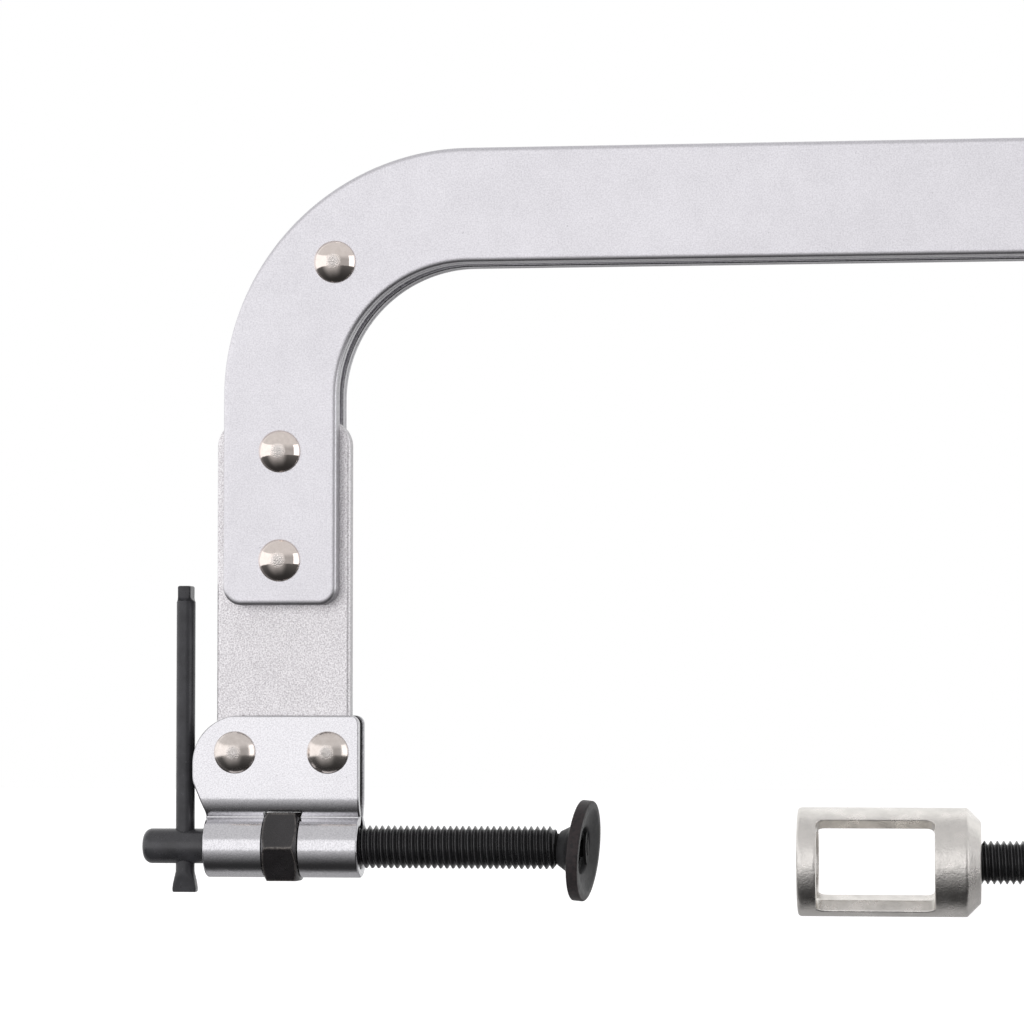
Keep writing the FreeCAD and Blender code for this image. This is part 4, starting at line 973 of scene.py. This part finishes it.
def ram():
    low, high = limits("ram_rod")
    ring_low, ring_high = limits("ram_ring")
    axis_z = middle("ram_rod").z
    shank = thread(low.x, low.x + RAM_THREAD, axis_z, 0.9)
    add_piece("ram_rod_thread", shank, screw_black, "ram", ["ram_rod"], 50.0)
    start = low.x + RAM_THREAD - 0.4
    groove = SCREW_RADIUS - RAM_GROOVE
    plain = [
        (start, 0.0, 0),
        (start, SCREW_RADIUS, 0.4),
        (ring_low.x - 0.05, SCREW_RADIUS, 0.01),
        (ring_low.x - 0.05, groove, 0.01),
        (ring_high.x + 0.05, groove, 0.01),
        (ring_high.x + 0.05, SCREW_RADIUS, 0.01),
        (high.x, SCREW_RADIUS, 0.5),
        (high.x, 0.0, 0),
    ]
    shape = lathe(turned(plain), at=(0.0, 0.0, axis_z))
    add_piece("ram_rod_plain", shape, screw_black, "ram")


SPRING_WIRE = 0.8
SPRING_COIL = 7.7
SPRING_TURNS = 8
SPRING_STEPS = 40
WIRE_SIDES = 14


def return_spring():
    """The open coil: a ring of points carried along its helix, closed at both ends.

    It rides on the ram's carrier, so its right end travels with the ram's seat, and it gets a mesh of its
    own.
    """
    low, high = limits("return_spring")
    axis_z = middle("return_spring").z
    run = high.x - low.x - 2 * SPRING_WIRE
    steps = SPRING_TURNS * SPRING_STEPS
    angles = [2 * math.pi * i / WIRE_SIDES for i in range(WIRE_SIDES)]
    rings = []
    for k in range(steps + 1):
        turn = 2 * math.pi * SPRING_TURNS * k / steps
        spoke = Vector((0.0, math.cos(turn), math.sin(turn)))
        centre = Vector((low.x + SPRING_WIRE + run * k / steps, 0.0, axis_z)) + spoke * SPRING_COIL
        ring = [centre + (Vector((math.cos(a), 0, 0)) + spoke * math.sin(a)) * SPRING_WIRE for a in angles]
        rings.append(ring)
    spring = add_piece(
        "return_spring_dressed",
        loft(rings),
        spring_wire,
        "ram_carrier",
        ["return_spring"],
        60.0,
    )
    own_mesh(spring)


def carried_over():
    """The plain turned and flat pieces keep their solids and get a finish."""
    finishes = {
        "corner_spacers": turned_zinc,
        "stop_sleeve": turned_zinc,
        "guide_barrel": turned_zinc,
        "spring_seat": turned_zinc,
        "lever_pivot_pin": turned_zinc,
        "guide_ring": ring_black,
        "pivot_clip": ring_black,
        "ram_ring": ring_black,
        "pad_clip": ring_black,
        "fulcrum_plate_front": bracket_zinc,
        "fulcrum_plate_rear": bracket_zinc,
        "cam_lever": plate_zinc,
        "lever_grip": grip_vinyl,
    }
    for name, material in finishes.items():
        mesh = nodes[name].data
        mesh.materials.clear()
        mesh.materials.append(material)


frame_plates()
leg_bars()
rivets()
anvil_bracket()
ram_bracket()
anvil_screw()
nut()
tommy_bar()
swivel_pad()
retainer_cage()
ram()
return_spring()
carried_over()


# Camera

CAMERA_PLACE = (100.0, -950.0, 43.8)
CAMERA_YAW = -0.1127
CAMERA_PITCH = 0.0394
CAMERA_ROLL = -0.0003
CAMERA_LENS = 120.5
CAMERA_SHIFT = (-0.05, 0.042)


def camera():
    data = bpy.data.cameras.new("camera")
    data.sensor_width = 36.0
    data.lens = CAMERA_LENS
    data.shift_x, data.shift_y = CAMERA_SHIFT
    data.clip_start, data.clip_end = 0.01, 50.0
    thing = new_object("camera", data)
    level = math.cos(CAMERA_PITCH)
    aim = Vector((math.sin(CAMERA_YAW) * level, math.cos(CAMERA_YAW) * level, math.sin(CAMERA_PITCH)))
    turn = aim.to_track_quat("-Z", "Y").to_matrix().to_4x4() @ Matrix.Rotation(CAMERA_ROLL, 4, "Z")
    thing.matrix_world = Matrix.Translation(Vector(CAMERA_PLACE) * MM) @ turn
    bpy.context.scene.camera = thing


# Stage and light

FLOOR_Z = -0.16
FLOOR_REACH = 6.0
FLOOR_GLOW = 0.42
PAPER_PALE, PAPER_DARK = (0.86, 0.86, 0.86), (0.84, 0.84, 0.84)

# Brightness of each part of the studio.
CEILING = 0.66
CEILING_LAMP = 0.95
SWEEP = 1.0
LEFT_WALL = 1.15
RIGHT_WALL = 0.40
WINDOW = 1.5
FLOOR_FRONT = 0.65
FLOOR_UNDER = 0.03
FLOOR_REAR = 0.42

# Where each part begins and ends, in degrees of azimuth or elevation.
HORIZON = -12.0
SWEEP_TOP = 58.0
LEFT_WALL_SIDES = (-120.0, 12.0)
LEFT_WALL_TOP = 26.0
RIGHT_WALL_SIDES = (12.0, 150.0)
RIGHT_WALL_TOP = 22.0
WINDOW_SIDES = (57.0, 87.0)
WINDOW_ENDS = (-11.0, 27.0)
FLOOR_SIDES = (-48.0, 14.0)

# How far the overhead lamp reaches from left to right, as a share of the sky's radius.
LAMP_SIDES = (-0.11, 0.08)


def seen_by_camera(graph, mirrored=0.0):
    """1 for rays from the camera, straight or through glass, and the given share for mirrored ones."""
    path = graph.node("ShaderNodeLightPath")
    direct = graph.math("MAXIMUM", path.outputs["Is Camera Ray"], path.outputs["Is Transmission Ray"])
    return graph.math("MAXIMUM", direct, graph.math("MULTIPLY", path.outputs["Is Glossy Ray"], mirrored))


def floor():
    """A pale floor that catches a shadow and meets the white backdrop without a line."""
    graph = Finish("stage_floor")
    paper = graph.mix(graph.noise(300.0), PAPER_PALE, PAPER_DARK)
    glow = graph.math("MULTIPLY", seen_by_camera(graph), FLOOR_GLOW)
    graph.finish(Base_Color=paper, Roughness=0.85, Emission_Color=(1.0, 1.0, 1.0), Emission_Strength=glow)
    mesh = bpy.data.meshes.new("floor")
    spots = [(x * FLOOR_REACH, y * FLOOR_REACH, FLOOR_Z) for x, y in ((-1, -1), (1, -1), (1, 1), (-1, 1))]
    mesh.from_pydata(spots, [], [(0, 1, 2, 3)])
    mesh.materials.append(graph.material)
    thing = new_object("floor", mesh)
    thing.visible_glossy = False


def world():
    """White to the camera, and a studio to all else.

    Azimuth is 0 towards the camera's side and grows to the right. Elevation is 0 when level. Both
    are in degrees. A pale wall stands on the left, a window in the dimmer wall on the right, a white
    paper sweep behind, and the floor in front falls off into the dark underneath.
    """
    made = bpy.data.worlds.new("studio")
    made.use_nodes = True
    graph = Graph(made.node_tree)
    graph.tree.nodes.clear()
    place = graph.node("ShaderNodeTexCoord").outputs["Generated"]
    way = graph.node("ShaderNodeSeparateXYZ", {0: place})
    x, y, z = way.outputs[0], way.outputs[1], way.outputs[2]
    turn = graph.math("ARCTAN2", x, graph.math("MULTIPLY", y, -1.0))
    azimuth = graph.math("MULTIPLY", turn, math.degrees(1.0))
    elevation = graph.math("MULTIPLY", graph.math("ARCSINE", z), math.degrees(1.0))

    def above(value, edge, soft):
        return graph.ramp(value, 0.0, 1.0, edge - soft, edge + soft, smooth=True)

    def between(value, low, high, soft):
        return graph.math("SUBTRACT", above(value, low, soft), above(value, high, soft))

    behind = graph.ramp(y, 0.0, 1.0, -0.1, 0.35, smooth=True)
    low_down = graph.math("SUBTRACT", 1.0, above(elevation, SWEEP_TOP, 14.0))
    overhead = graph.math("MULTIPLY", between(x, *LAMP_SIDES, 0.03), above(y, 0.0, 0.05))
    level = graph.blend(overhead, CEILING, CEILING_LAMP)
    sweep = graph.math("MULTIPLY", behind, low_down)
    level = graph.blend(sweep, level, SWEEP)
    under_top = graph.math("SUBTRACT", 1.0, above(elevation, RIGHT_WALL_TOP, 12.0))
    right = graph.math("MULTIPLY", between(azimuth, *RIGHT_WALL_SIDES, 6.0), under_top)
    level = graph.blend(right, level, RIGHT_WALL)
    window_rows = between(elevation, *WINDOW_ENDS, 1.0)
    window = graph.math("MULTIPLY", between(azimuth, *WINDOW_SIDES, 1.0), window_rows)
    level = graph.blend(window, level, WINDOW)
    under_top = graph.math("SUBTRACT", 1.0, above(elevation, LEFT_WALL_TOP, 1.5))
    left = graph.math("MULTIPLY", between(azimuth, *LEFT_WALL_SIDES, 6.0), under_top)
    level = graph.blend(left, level, LEFT_WALL)

    near = graph.ramp(elevation, 0.0, 1.0, -70.0, -10.0)
    lit = graph.math("MULTIPLY", graph.math("MULTIPLY", near, near), FLOOR_FRONT)
    lit = graph.math("MULTIPLY", lit, graph.ramp(between(azimuth, *FLOOR_SIDES, 18.0), 0.14, 1.0))
    front = graph.math("ADD", lit, FLOOR_UNDER)
    rear = graph.ramp(elevation, FLOOR_UNDER, FLOOR_REAR, -86.0, -62.0, smooth=True)
    above_floor = above(elevation, HORIZON, 2.0)
    level = graph.blend(above_floor, graph.blend(behind, front, rear), level)

    room = graph.node("ShaderNodeBackground", {"Color": (1.0, 0.99, 1.0, 1.0), "Strength": level})
    white = graph.node("ShaderNodeBackground", {"Color": (1.0, 1.0, 1.0, 1.0), "Strength": 1.0})
    mirrored = graph.math("MULTIPLY", sweep, above_floor)
    shaders = {0: seen_by_camera(graph, mirrored), 1: room.outputs[0], 2: white.outputs[0]}
    graph.node("ShaderNodeOutputWorld", {"Surface": graph.node("ShaderNodeMixShader", shaders).outputs[0]})
    bpy.context.scene.world = made


LAMP_TARGET = Vector((0.05, 0.0, 0.06))


def softbox(name, place, size, power):
    """A square lamp aimed into the open frame. It isn't mirrored in the metal."""
    data = bpy.data.lights.new(name, "AREA")
    data.shape, data.size, data.size_y, data.energy = "RECTANGLE", size, size, power
    thing = new_object(name, data)
    spot = Vector(place)
    turn = (LAMP_TARGET - spot).to_track_quat("-Z", "Y").to_matrix().to_4x4()
    thing.matrix_world = Matrix.Translation(spot) @ turn
    thing.visible_glossy = False


camera()
floor()
world()
softbox("key", (-0.9, -1.1, 1.1), 0.9, 11.0)
softbox("fill", (1.2, -0.9, 0.6), 0.8, 2.0)

bpy.context.scene.view_settings.view_transform = "Standard"
